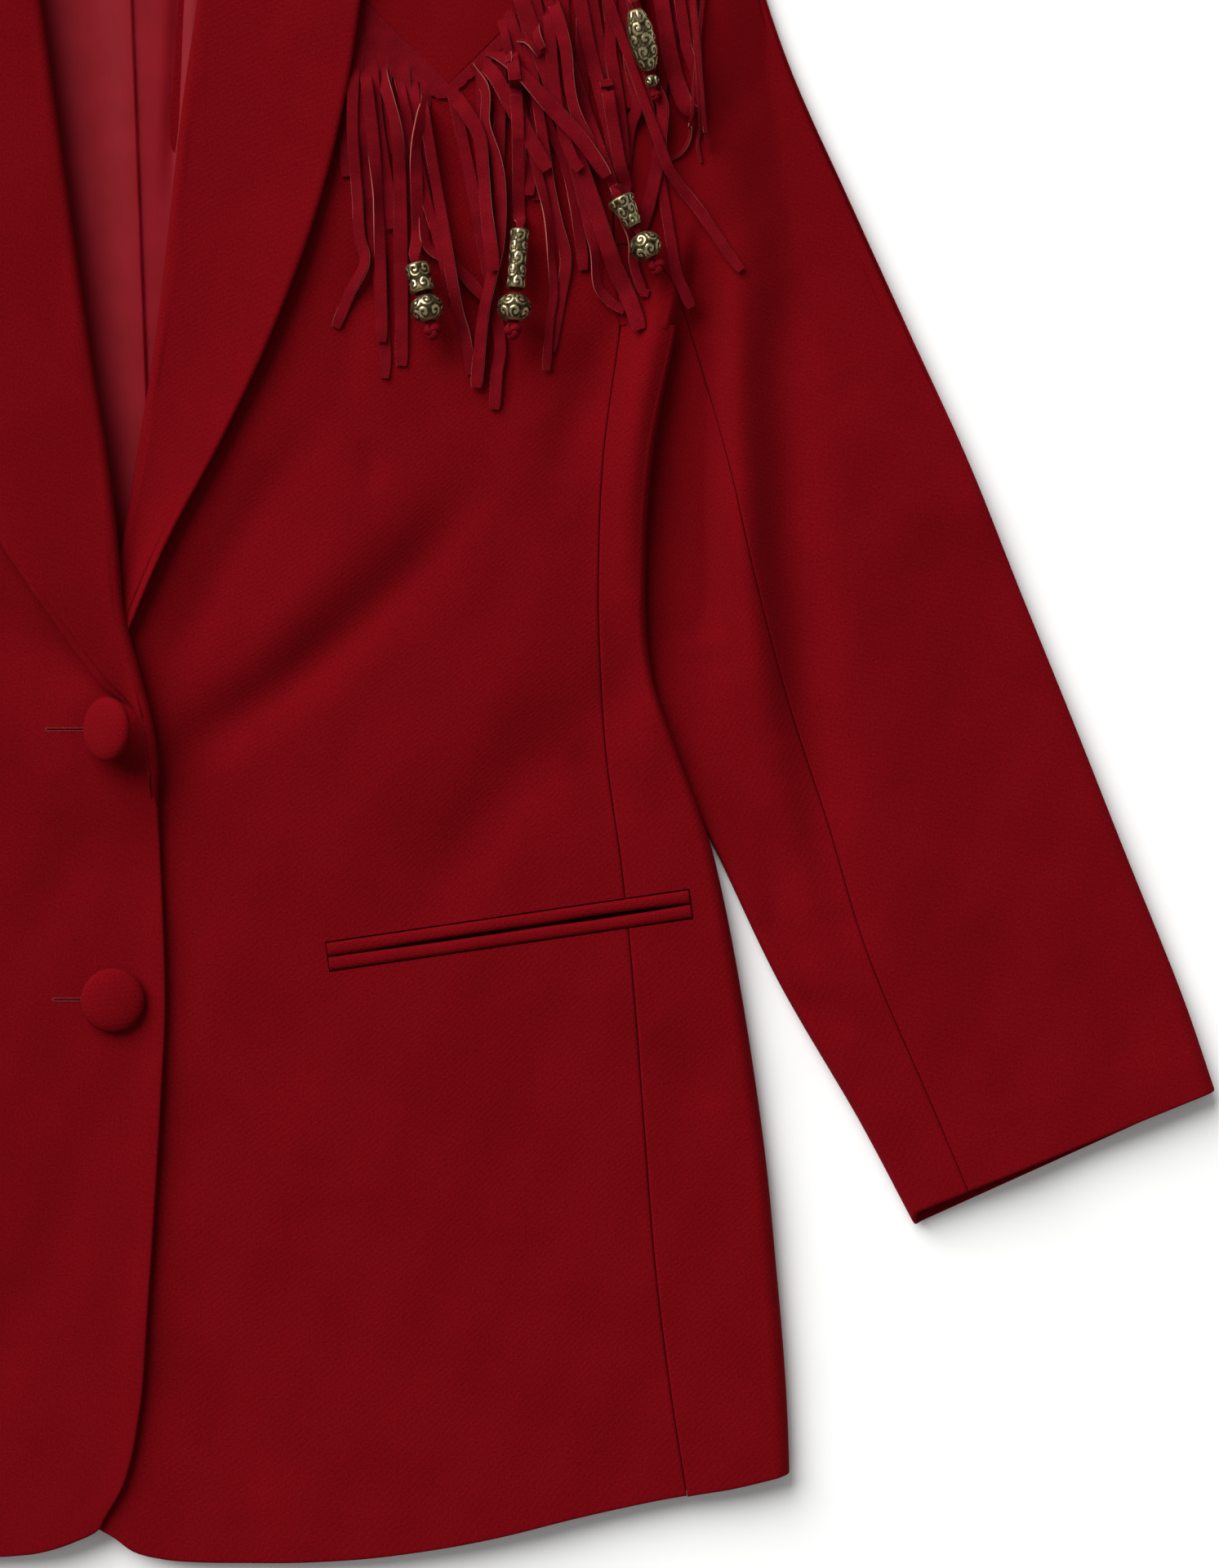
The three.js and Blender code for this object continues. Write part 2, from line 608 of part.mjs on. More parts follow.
const BEHIND_RADIUS = 2.6; // of the roll behind the neck
function collarBehindRow(row) {
  const radius = BEHIND_RADIUS;
  const outer = [];
  const inner = [];
  const { roll, edge, stand } = row;
  const toward = (from, to, length) => {
    const reach = Math.hypot(to[0] - from[0], to[1] - from[1]);
    return [mix(from[0], to[0], length / reach), mix(from[1], to[1], length / reach)];
  };
  const half = COLLAR_WALL / 2;
  for (const share of [0, 0.5]) {
    const [x, y] = [mix(stand[0], roll[0], share * 0.9), mix(stand[1], roll[1], share * 0.9)];
    const z = mix(stand[2], roll[2] + radius - half, share);
    outer.push([x, y, z + half]);
    inner.push([x, y, z - half]);
  }
  for (const share of shares(4)) {
    const angle = mix(Math.PI / 2, -Math.PI / 2, share);
    const leg = share < 0.5 ? stand : edge;
    const [cx, cy] = toward(roll, leg, radius);
    const reach = Math.cos(angle);
    const arc = (r) => [
      mix(cx, roll[0], (reach * r) / radius),
      mix(cy, roll[1], (reach * r) / radius),
      roll[2] + r * Math.sin(angle),
    ];
    outer.push(arc(radius));
    inner.push(arc(radius - COLLAR_WALL));
  }
  for (const share of FALL_SHARES) {
    const [cx, cy] = toward(roll, edge, radius);
    const [x, y] = [mix(cx, edge[0], share), mix(cy, edge[1], share)];
    const z = mix(roll[2] - radius, edge[2], ease(0, 0.56, share));
    const outwards = row.turn * COLLAR_WALL;
    outer.push([x + 0.32 * outwards, y + 0.95 * outwards, z]);
    inner.push([x, y, z + COLLAR_WALL * (1 - row.turn)]);
  }
  return { outer, inner };
}

function makeCollar(half) {
  const rows = [
    ...collarShape.map((row) => collarRow(half, row)),
    ...collarBehind.map(collarBehindRow),
  ];
  const place = ([q, y, z]) => [half.sign * q, y, z];
  const outer = rows.map((row) => row.outer.map(place));
  const inner = rows.map((row) => row.inner.map(place));
  return wall(outer, inner, half.sign < 0);
}

// The sleeve's edge at the armhole: first in along the top of the side panel, then up to
// the shoulder.
const ALONG_UNDERARM = 0.1;
const ARMHOLE_GAP = 0.5;
function armholePoint(table, u) {
  const start = UNDERARM + 2 * SEAM;
  const corner = at(table, "y", UNDERARM, "q") + ARMHOLE_GAP;
  if (u < ALONG_UNDERARM) {
    return [mix(sleeveRings.at(-1).inner[0], corner, u / ALONG_UNDERARM), start];
  }
  const y = mix(start, SHOULDER_POINT.y, (u - ALONG_UNDERARM) / (1 - ALONG_UNDERARM));
  return [at(table, "y", y, "q") + ARMHOLE_GAP, y];
}

function ringPoint(ring, table, u, z) {
  const chord = (r, k) => mix(r.inner[k], r.outer[k], u);
  const arm = armholePoint(table, clamp(u));
  const bent = (k) => chord(ring, k) + ring.curve * (arm[k] - chord(sleeveRings.at(-1), k));
  return [bent(0), bent(1), z];
}

// Half a ring's profile as [across, height] pairs with the wall's inner side: from the hind
// seam on the underside, round a fold, to the forearm seam on top.
function sleeveProfile(half, ring, part) {
  const width = Math.hypot(ring.outer[0] - ring.inner[0], ring.outer[1] - ring.inner[1]);
  const top = (a) => {
    const free = mix(ring.thin, ring.tall, ease(ring.flat, ring.flat + TAPER, a));
    const [armQ, armY] = armholePoint(frontArmhole, a / width);
    const sewn = mix(ring.thin, frontTopFace(half, armQ, armY), ease(0.2, 0.42, a / width));
    return mix(free, sewn, ring.curve);
  };
  const outer = [];
  const inner = [];
  const push = (a, z, normalA, normalZ) => {
    outer.push([a / width, z]);
    inner.push([(a - normalA * SLEEVE_WALL) / width, z - normalZ * SLEEVE_WALL]);
  };
  const seamTop = ring.seam * width;
  const seamUnder = (1 - HIND_SEAM) * width;
  const innerRadius = ring.thin / 2;
  const outerRadius = top(width) / 2;
  if (part === "under") {
    for (const t of [0, 0.35, 0.7, 0.885]) push(mix(seamUnder - SEAM / 2, innerRadius, t), 0, 0, -1);
    for (const t of shares(4)) {
      const angle = mix(-Math.PI / 2, -1.5 * Math.PI, t);
      const [c, s] = [Math.cos(angle), Math.sin(angle)];
      push(innerRadius + innerRadius * c, innerRadius + innerRadius * s, c, s);
    }
    for (const t of [0.38, 0.7, 1]) {
      const a = mix(innerRadius, seamTop - SEAM / 2, t);
      push(a, top(a), 0, 1);
    }
  } else {
    for (const t of [0, 0.5]) push(mix(seamUnder + SEAM / 2, width - outerRadius, t), 0, 0, -1);
    for (const t of shares(4)) {
      const angle = mix(-Math.PI / 2, Math.PI / 2, t);
      const [c, s] = [Math.cos(angle), Math.sin(angle)];
      push(width - outerRadius + outerRadius * c, outerRadius + outerRadius * s, c, s);
    }
    for (const t of [0.25, 0.5, 0.75, 1]) {
      const a = mix(width - outerRadius, seamTop + SEAM / 2, t);
      push(a, top(a), 0, 1);
    }
  }
  return { outer, inner };
}

function makeSleeve(half, part) {
  const outer = [];
  const inner = [];
  sleeveRings.forEach((ring, i) => {
    const profile = sleeveProfile(half, ring, part);
    const slip = i === 0 ? 1 : 0;
    const place = ([u, z], j) => {
      const [, outerZ] = profile.outer[j];
      const below = slip * (1 - ease(0.3, 0.9, outerZ / ring.tall));
      const table = outerZ < ring.thin / 2 ? backArmhole : frontArmhole;
      const [q, y] = ringPoint(ring, table, u, z);
      return [half.sign * (q + CUFF_SLIP.q * below), y + CUFF_SLIP.y * below, z];
    };
    outer.push(profile.outer.map(place));
    inner.push(profile.inner.map(place));
  });
  const turned = part === "under" ? half.sign > 0 : half.sign < 0;
  return wall(outer, inner, !turned);
}

// Welts of the pocket, on the face of the front and the side panel.
function makeWelt(half, isUpper) {
  const low = isUpper ? POCKET_SLIT / 2 : -POCKET_SLIT / 2 - WELT_WIDTH;
  const [cos, sin] = [Math.cos(POCKET_TILT), Math.sin(POCKET_TILT)];
  const grid = (up) =>
    [0, 1].map((t) =>
      shares(10).map((s) => {
        const along = mix(-POCKET_HALF_LENGTH, POCKET_HALF_LENGTH, s);
        const out = low + WELT_WIDTH * t;
        const q = POCKET_MIDDLE.q + cos * along - sin * out;
        const y = POCKET_MIDDLE.y + sin * along + cos * out;
        return [half.sign * q, y, frontTopFace(half, q, y) + SEAM + up];
      }),
    );
  return wall(grid(WELT_WALL), grid(0), half.sign < 0);
}

// Covered button: a domed disc, with a thread shank down to the under front.
function makeButton(button) {
  const [low, flat] = [0.4, BUTTON_RADIUS - BUTTON_RIM];
  const profile = [new THREE.Vector2(0, low), new THREE.Vector2(flat, low)];
  for (const t of shares(4)) {
    const angle = mix(-0.9, 1.25, t);
    const height = low + BUTTON_RIM * (1 + 0.85 * Math.sin(angle));
    profile.push(new THREE.Vector2(flat + BUTTON_RIM * Math.cos(angle), height));
  }
  profile.push(new THREE.Vector2(0, BUTTON_HEIGHT));
  const rest = frontTopFace(halves[1], -button.x, button.y) + SEAM + button.rise;
  const disc = new THREE.LatheGeometry(profile, 24).rotateX(Math.PI / 2).rotateY(button.tilt);
  disc.translate(button.x, button.y, rest);
  const foot = UNDER_EDGE_TOP + SEAM;
  const height = rest + 2 - foot;
  const shank = new THREE.CylinderGeometry(SHANK_RADIUS, SHANK_RADIUS, height, 10);
  shank.rotateX(Math.PI / 2).translate(button.x, button.y, foot + height / 2);
  return toGeometry(toSolid(disc).add(toSolid(shank)));
}

// Fringe: the plain reach of its strips, hanging from the yoke's V over the front and the
// head of the sleeve.
const fringeReach = [
  { q: 88, top: 643, tip: 505 },
  { q: 104, top: 627, tip: 488 },
  { q: 120, top: 611, tip: 478 },
  { q: 136.6, top: 595, tip: 470 },
  { q: 152, top: 610.5, tip: 471 },
  { q: 168, top: 626.5, tip: 478 },
  { q: 184, top: 642.5, tip: 488 },
  { q: 198, top: 656.5, tip: 500 },
  { q: 211, top: 669.5, tip: 518 },
  { q: 226, top: 680, tip: 545 },
  { q: 240, top: 640, tip: 575 },
];
function fringeFloor(half, q, y) {
  const sleeveFace = ease(190, 205, q) * 1.7;
  return frontTopFace(half, Math.min(q, 206), y) + FRINGE_LIFT + sleeveFace;
}

function makeFringe(half) {
  const grid = (up) =>
    shares(6).map((v) =>
      fringeReach.map(({ q, top, tip }) => {
        const y = mix(tip, top - 1, v);
        return [half.sign * q, y, fringeFloor(half, q, y) + up];
      }),
    );
  return wall(grid(FRINGE_THICKNESS), grid(0), half.sign < 0);
}

// Beads on suede thongs, lying on the fringe. Each thong hangs from the yoke's edge
// (topQ, topY), runs straight through its two beads and ends in a knot.
const thongs = [
  { name: "a", topQ: 124, topY: 600, q1: 125.4, y1: 518, q2: 128.4, y2: 505.6, knot: 9.5 },
  { name: "b", topQ: 165.5, topY: 618, q1: 164.7, y1: 525.7, q2: 163.4, y2: 505.8, knot: 9.5 },
  { name: "c", topQ: 194, topY: 640, q1: 208.6, y1: 544.5, q2: 216, y2: 530.8, knot: 9.5 },
  { name: "d", topQ: 207, topY: 658, q1: 214.6, y1: 613, q2: 218.6, y2: 597.2, knot: 6 },
];
const beadForms = {
  a: [
    { form: "tube", radius: 5.1, half: 5.9 },
    { form: "round", radius: 6.8, half: 5.4 },
  ],
  b: [
    { form: "tube", radius: 3.9, half: 12.3 },
    { form: "round", radius: 6.9, half: 5.6 },
  ],
  c: [
    { form: "cone", radius: 5.6, half: 6.4 },
    { form: "round", radius: 6.6, half: 5.4 },
  ],
  d: [
    { form: "spindle", radius: 5.4, half: 12.4 },
    { form: "round", radius: 2.7, half: 2.5 },
  ],
};

function beadOutline({ form, radius, half }) {
  if (form === "tube") {
    return [
      [radius * 0.9, -half],
      [radius, -half + 0.9],
      [radius, half - 0.9],
      [radius * 0.9, half],
    ];
  }
  if (form === "cone") {
    return [
      [radius * 0.5, -half],
      [radius * 0.62, -half + 0.9],
      [radius, half - 0.9],
      [radius * 0.9, half],
    ];
  }
  const reach = form === "spindle" ? 1.1 : 1.15;
  return shares(6).map((t) => {
    const angle = mix(-reach, reach, t);
    return [radius * Math.cos(angle), (half * Math.sin(angle)) / Math.sin(reach)];
  });
}

// The line through a thong's beads, high enough for both to rest on the fringe.
function beadAxis(half, thong) {
  const [first, second] = beadForms[thong.name];
  const rest = (q, y, radius) => fringeFloor(half, q, y) + FRINGE_THICKNESS + SEAM + radius;
  const z1 = rest(thong.q1, thong.y1, first.radius);
  const z2 = rest(thong.q2, thong.y2, second.radius);
  const from = new THREE.Vector3(half.sign * thong.q1, thong.y1, z1);
  const to = new THREE.Vector3(half.sign * thong.q2, thong.y2, z2);
  const lean = Math.abs(z1 - z2) / from.distanceTo(to);
  const clearance = lean * Math.max(first.half, second.half);
  from.z += clearance;
  to.z += clearance;
  return { from, to, along: to.clone().sub(from).normalize() };
}

function makeBead(half, thong, index) {
  const axis = beadAxis(half, thong);
  const bead = beadForms[thong.name][index];
  const bore = Math.min(BEAD_BORE, bead.radius * 0.45);
  const outline = beadOutline(bead);
  const closed = [...outline, [bore, bead.half], [bore, -bead.half], outline[0]];
  const profile = closed.map(([x, y]) => new THREE.Vector2(x, y));
  const geometry = new THREE.LatheGeometry(profile, BEAD_SIDES, BEAD_TURN);
  const up = axis.along.clone().negate();
  const turn = new THREE.Quaternion().setFromUnitVectors(new THREE.Vector3(0, 1, 0), up);
  const centre = index === 0 ? axis.from : axis.to;
  geometry.applyQuaternion(turn).translate(centre.x, centre.y, centre.z);
  return mergeVertices(stripped(geometry), 1e-3);
}

// A flat strip through the given points, with a knot at its end.
function makeThong(half, thong) {
  const { from, to, along } = beadAxis(half, thong);
  const [first] = beadForms[thong.name];
  const bore = Math.min(BEAD_BORE, beadForms[thong.name][1].radius * 0.45);
  const width = Math.min(THONG.width, bore * 1.3);
  const rise = FRINGE_THICKNESS + SEAM + THONG.thickness / 2;
  const start = new THREE.Vector3(half.sign * thong.topQ, thong.topY, 0);
  start.z = fringeFloor(half, thong.topQ, thong.topY) + rise + 0.4;
  const knot = to.clone().addScaledVector(along, thong.knot);
  const above = from.clone().addScaledVector(along, -first.half - 5);
  const path = [start, start.clone().lerp(above, 0.5), above, from, to, knot];
  path[1].z = fringeFloor(half, Math.abs(path[1].x), path[1].y) + rise + 0.4;
  const sideways = new THREE.Vector3(-along.y, along.x, 0).setLength(width / 2);
  if (half.sign < 0) sideways.negate();
  const thickness = Math.min(THONG.thickness, bore * 0.8);
  const grid = (up) =>
    path.map((point) =>
      [-1, 1].map((s) => [
        point.x + s * sideways.x,
        point.y + s * sideways.y,
        point.z + up * thickness,
      ]),
    );
  const strip = wall(grid(0.5), grid(-0.5), half.sign > 0);
  const radius = Math.min(KNOT_RADIUS, thong.knot - 4);
  const tied = new THREE.IcosahedronGeometry(radius, 1).translate(knot.x, knot.y, knot.z);
  return toGeometry(toSolid(strip).add(toSolid(tied)));
}

// Assembly: the group's origin is under the middle of the laid-out garment.
const blazer = new THREE.Group();
blazer.name = "western_blazer";
const laid = new THREE.Group();
laid.position.y = -LENGTH / 2;
blazer.add(laid);

function add(name, geometry, look) {
  geometry.computeVertexNormals();
  const mesh = new THREE.Mesh(geometry, look);
  mesh.name = name;
  laid.add(mesh);
  return mesh;
}

add("back", makeBack(), wool);
add("back_lining", makeBackLining(), satin);
for (const half of halves) {
  add(`front_${half.name}`, makeFront(half), wool);
  add(`side_panel_${half.name}`, makeSidePanel(half), wool);
  add(`yoke_${half.name}`, makeYoke(half), wool);
  add(`collar_${half.name}`, makeCollar(half), wool);
  add(`upper_sleeve_${half.name}`, makeSleeve(half, "upper"), wool);
  add(`under_sleeve_${half.name}`, makeSleeve(half, "under"), wool);
  add(`upper_welt_${half.name}`, makeWelt(half, true), wool);
  add(`lower_welt_${half.name}`, makeWelt(half, false), wool);
  add(`fringe_${half.name}`, makeFringe(half), suede);
  for (const thong of thongs) {
    add(`thong_${thong.name}_${half.name}`, makeThong(half, thong), suede);
    add(`upper_bead_${thong.name}_${half.name}`, makeBead(half, thong, 0), brass);
    add(`lower_bead_${thong.name}_${half.name}`, makeBead(half, thong, 1), brass);
  }
}
for (const button of buttons) add(button.name, makeButton(button), wool);

export default blazer;
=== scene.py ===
import json
import math

import bpy
import numpy as np
from mathutils import Matrix, Quaternion, Vector
from mathutils.bvhtree import BVHTree

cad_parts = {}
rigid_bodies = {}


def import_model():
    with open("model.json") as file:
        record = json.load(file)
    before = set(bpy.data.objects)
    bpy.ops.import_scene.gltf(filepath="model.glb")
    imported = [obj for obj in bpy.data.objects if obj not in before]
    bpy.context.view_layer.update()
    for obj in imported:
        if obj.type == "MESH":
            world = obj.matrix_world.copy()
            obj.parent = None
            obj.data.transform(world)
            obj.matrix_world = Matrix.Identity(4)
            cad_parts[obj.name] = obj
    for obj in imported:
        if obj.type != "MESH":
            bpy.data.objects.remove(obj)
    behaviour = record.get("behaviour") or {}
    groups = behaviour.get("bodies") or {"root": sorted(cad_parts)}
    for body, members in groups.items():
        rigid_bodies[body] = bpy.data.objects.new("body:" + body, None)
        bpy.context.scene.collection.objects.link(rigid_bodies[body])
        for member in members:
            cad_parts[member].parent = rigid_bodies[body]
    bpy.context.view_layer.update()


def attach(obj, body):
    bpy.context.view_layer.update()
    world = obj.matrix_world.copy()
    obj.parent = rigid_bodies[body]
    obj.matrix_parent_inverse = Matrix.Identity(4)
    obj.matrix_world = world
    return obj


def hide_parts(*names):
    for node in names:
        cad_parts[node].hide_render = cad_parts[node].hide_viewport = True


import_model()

# A western blazer of red wool, laid flat on its back and buttoned right over left.
#
# Sizes in the tables are millimetres. y is the height above the hem and q the distance out
# from the centre front, so one set of tables serves both halves. The left half (+X) is the
# one whose front lies under the other.

bl_info = {
    "name": "Western blazer",
    "version": (1, 0, 0),
    "blender": (4, 5, 0),
    "location": "3D View > Sidebar > Blazer",
    "description": "Lays out a western blazer: wool panels, satin, suede fringe and metal beads",
    "category": "Add Mesh",
}

MM = 0.001

# ---------------------------------------------------------------- sizes shared with the solids
LENGTH = 823.6  # hem to the top of the collar
SHOULDER_POINT = (229.0, 742.0)
NECK_POINT = (78.0, 793.0)
NECK_EDGE = 74.0  # the front's neck edge at the shoulder seam
ROLL_SET = 3.4  # the front ends this far inside the collar's roll
WOOL = 1.8
SLEEVE_WALL = 1.5
COLLAR_WALL = 1.5
SEAM = 0.16
FRONT_TOP = 11.8
UNDER_EDGE_TOP = 9.1
TOP_EDGE_LOW = 11.4
TOP_EDGE_HIGH = 16.0
SHOULDER_ROLL = 45.0
TUCK = 5.3
COLLAR_GAP = 0.7
OVER_COLLAR = 1.9
UNDERARM = 500.0
BACK_SEAM_IN = 32.0
BACK_HEM = 17.0
BACK_NECK_DROP = 17.0
SEAM_HEM_Q = 234.0
FOLD_SHOULDER = 8.0
STAND_DEPTH = 26.0
STAND_LOWEST = 5.4
HIND_SEAM = 0.15
CUFF_SLIP = (2.2, -4.8)  # how far the under cuff's inner corner lies from the upper one's
TAPER = 42.0
ALONG_UNDERARM = 0.1
ARMHOLE_GAP = 0.5
YOKE_POINT = (136.6, 597.0)
YOKE_INNER = 88.0
POCKET_MIDDLE = (161.0, 256.0)
POCKET_TILT = math.atan2(65, 445)
POCKET_HALF_LENGTH = 74.0
POCKET_SLIT = 2.4
WELT_WIDTH = 4.6
BUTTON_RADIUS = 12.9
BUTTON_HEIGHT = 6.8
FRINGE_LIFT = 0.9
FRINGE_THICKNESS = 2.2
BEAD_BORE = 1.7

HALVES = (
    {"name": "left", "sign": 1, "roll": "under"},
    {"name": "right", "sign": -1, "roll": "top"},
)
BUTTONS = (
    {"name": "button_upper", "x": -1.3, "y": 337.0, "tilt": -0.7, "rise": 7.6},
    {"name": "button_lower", "x": 1.3, "y": 228.0, "tilt": 0.0, "rise": 0.0},
)


def table(columns, *rows):
    """Named columns of numbers, from rows."""
    return {name: np.array(values, float) for name, values in zip(columns.split(), zip(*rows))}


SIDE = table(
    "y edge seam tuck",
    (20, 275, 234, 0), (71, 273, 226, 0), (120, 269, 220, 0), (170, 264, 216, 0),
    (236, 254, 211, 0), (285, 244, 206, 0.3), (305, 237.5, 203, 0.8), (328, 229, 200, 1),
    (358, 219, 198, 1), (394, 216, 197, 1), (447, 219, 199, 1), (500, 229, 206, 1),
)
FRONT_ARMHOLE = table(
    "y q", (500, 206), (540, 203), (580, 203.5), (620, 206), (680, 213.5), (742, 229)
)
BACK_ARMHOLE = table("y q", (500, 197), (540, 206), (600, 211), (680, 217), (742, 229))
HEMS = {
    "under": table(
        "q y",
        (-5, 13.5), (1.3, 9.9), (7.9, 5), (14.5, 2.6), (27, 0.6), (50, 0), (87, 0.8),
        (120, 4), (153, 9.8), (186, 17.8), (219, 24.9), (234, 27.6), (252, 30.6), (275, 36),
    ),
    "top": table(
        "q y",
        (4, 14.6), (6.9, 12.2), (11.9, 9.9), (18.5, 7.3), (25, 5.3), (33, 3.7), (50, 2.6),
        (97, 3.2), (153, 9.8), (186, 17.8), (219, 24.9), (234, 27.6),
    ),
}
FRONT_EDGES = {
    "under": table("y q", (13.5, -5), (25, -11), (54, -18), (104, -22), (300, -22)),
    "top": table(
        "y q",
        (14.6, 4), (18.2, 2.4), (31, -5), (45, -9.2), (58, -11.4), (71, -13.2), (97, -15),
        (137, -17.6), (177, -20), (229, -22.3), (300, -19.6),
    ),
}
# The shawl collar from the break of the lapel to the shoulder: its roll, its outer edge,
# and how far that edge stands up.
COLLAR = table(
    "roll_y top under edge_y top_edge under_edge lift",
    (320, -18.8, -20.5, 323, -15, -15, 0), (338, -16.6, -18.5, 343, -11, -11, 0.2),
    (360, -11, -10, 354, 2, -3.6, 3.2), (385, -4.6, -2, 376, 18.5, 7, 5.4),
    (415, -1.8, 6, 400, 35, 17.4, 5.8), (450, 2.5, 12, 423, 50, 28.6, 4.8),
    (490, 9, 18.5, 455, 66, 46, 4.2), (535, 15.5, 24, 500, 79, 67, 4),
    (585, 22.5, 29.5, 550, 91, 85, 3.6), (635, 29.5, 36.5, 607, 99, 98, 4),
    (690, 38, 43, 668, 105, 105, 3), (742, 46, 48.5, 722, 106, 106, 1.5),
    (775, 50.5, 52, 758, 104.5, 104.5, 0.6), (792, 53, 53.5, 777, 102, 102, 0.3),
)
# Past the shoulder the collar goes behind the neck. turn: 1 where the fall stands on edge.
COLLAR_BEHIND = (
    {"roll": (51.5, 803, 7.6), "edge": (101, 788.5, 5.6), "stand": (69, 789, 6.6), "turn": 1},
    {"roll": (47, 808.5, 5), "edge": (96, 787, 0), "stand": (62, 787, 6.6), "turn": 0},
    {"roll": (38, 815, 4.2), "edge": (76, 770, 0), "stand": (48, 780.5, 6.6), "turn": 0},
    {"roll": (22, 820.5, 4), "edge": (46, 762, 0), "stand": (27, 776, 6.6), "turn": 0},
    {"roll": (0.2, 823, 3.8), "edge": (0.2, 760, 0), "stand": (0.2, 773, 6.6), "turn": 0},
)
BEHIND_RADIUS = 2.6
RINGS = table(
    "i outer_q outer_y inner_q inner_y tall thin flat seam curve",
    (0, 446.8, 191, 323, 141, 12, 11, 9, 0.19, 0),
    (1, 433, 231, 302, 180, 12.5, 10, 9, 0.21, 0),
    (2, 410.5, 287, 270.5, 234, 13, 9, 9, 0.25, 0),
    (3, 389.5, 340, 246.5, 284, 13, 5.6, 9, 0.3, 0),
    (4, 368, 393, 224, 330, 13, 4.4, 10, 0.34, 0),
    (5, 347, 445.5, 211.5, 372, 13, 4.3, 12, 0.36, 0),
    (6, 323, 498, 208.5, 414, 13, 4.3, 14, 0.36, 0),
    (7, 299, 551, 212, 452, 13, 4.3, 25, 0.34, 0.1),
    (8, 276, 603, 220, 481, 12.6, 4.3, 32, 0.31, 0.3),
    (9, 261, 648, 226, 493, 12.4, 4.4, 20, 0.28, 0.55),
    (10, 247, 698, 229.6, 498.6, 12, 4.3, 26, 0.25, 0.8),
    (11, 230.5, 742, 231, 500.6, 12, 4.3, 26, 0.22, 1),
)
LAST_RING = 11

# ---------------------------------------------------------------- creases
# Soft troughs from (q0, y0) to (q1, y1), bowed to one side; a ridge has a negative depth.
CREASE = "q0 y0 q1 y1 bow width depth"
BODY_CREASES = {
    "left": table(
        CREASE,
        (14, 320, 142, 426, -9, 11, 4.7),  # the pull from the upper button
        (36, 352, 120, 440, -4, 16, -2.6),
        (112, 246, 226, 368, 8, 16, 3.1),  # the broad hollow at the waist
        (78, 284, 180, 386, -4, 18, -1.3),
        (104, 456, 106, 430, 0, 6, 1.3),
        (186, 330, 204, 296, 4, 9, 2.4),
        (218, 214, 240, 180, 4, 11, 2.4),
        (230, 528, 210, 392, -7, 9, -6.8),  # along the side fold
        (208, 404, 222, 330, 3, 8, -3.0),
        (32, 84, 58, 22, 4, 11, 2.0),
        (84, 150, 120, 60, -8, 22, 2.1),
        (150, 220, 190, 110, 8, 24, 2.1),
        (70, 236, 34, 160, 6, 18, 1.4),
        (184, 436, 208, 508, 5, 11, 3.0),
        (116, 520, 180, 466, 8, 18, 2.8),
        (22, 356, 84, 460, 5, 10, 2.6),
        (92, 470, 118, 560, 4, 9, 1.6),
        (150, 560, 196, 606, 6, 18, 1.0),
        (150, 470, 190, 420, -6, 18, -1.6),
    ),
    "right": table(
        CREASE,
        (5, 353, 60, 403, -4, 10, 4.6),
        (16, 320, 120, 424, 8, 13, 4.6),
        (126, 244, 214, 360, -6, 16, 4.0),
        (84, 290, 170, 390, 4, 18, -2.0),
        (196, 326, 212, 280, -3, 10, 2.2),
        (222, 200, 238, 150, -4, 12, 2.0),
        (228, 524, 209, 390, 6, 9, -4.2),
        (40, 120, 60, 30, 4, 14, 2.0),
        (96, 170, 128, 70, 8, 22, 2.0),
        (160, 210, 184, 90, -8, 22, 1.8),
        (-4, 304, 30, 250, 3, 13, 1.2),
        (184, 440, 206, 514, -4, 12, 2.8),
        (112, 508, 172, 456, -6, 19, 2.4),
        (10, 180, 26, 90, 3, 13, 1.1),
    ),
}
SLEEVE_CREASES = {
    "left": table(
        CREASE,
        (273, 530, 295, 262, -7, 12, 7.0),  # beside the forearm seam
        (252, 528, 266, 330, -5, 9, -4.4),
        (238, 534, 240, 368, -2, 12, 8.6),  # the deep valley beside the body
        (262, 330, 300, 232, -4, 8, -1.4),
        (262, 262, 284, 238, 2, 6, 2.0),
        (276, 228, 300, 214, 2, 6, 1.8),
        (262, 300, 270, 262, 3, 7, 1.8),
        (322, 430, 352, 300, 8, 24, 2.6),
        (340, 256, 372, 184, 5, 19, 2.0),
        (238, 640, 262, 520, -8, 14, -3.0),
        (268, 660, 300, 480, -8, 19, 5.4),
        (298, 664, 362, 430, -6, 50, 9.6),
        (366, 430, 446, 200, -4, 44, 4.2),
        (236, 560, 262, 600, 5, 10, 1.6),
        (392, 250, 416, 200, 4, 14, 1.4),
        (300, 480, 330, 400, 6, 18, -1.8),
    ),
    "right": table(
        CREASE,
        (274, 516, 296, 280, 6, 13, 6.4),
        (252, 516, 268, 350, 4, 9, -4.0),
        (240, 522, 243, 376, 2, 9, 5.8),
        (258, 280, 286, 250, 3, 7, 2.0),
        (274, 240, 304, 216, -2, 7, 1.7),
        (330, 430, 350, 320, -8, 23, 2.6),
        (346, 244, 368, 190, -4, 19, 2.0),
        (240, 636, 264, 520, 8, 15, -2.8),
        (272, 650, 302, 490, 8, 19, 5.0),
        (298, 664, 360, 436, 6, 50, 8.8),
        (364, 434, 446, 200, 4, 44, 4.0),
        (234, 556, 264, 590, -4, 11, 1.5),
    ),
}

# ---------------------------------------------------------------- numbers and curves
def mix(a, b, t):
    return a + (b - a) * t


def ease(low, high, value):
    """0 below low, 1 above high, smooth between."""
    t = np.clip((value - low) / (high - low), 0, 1)
    return t * t * (3 - 2 * t)


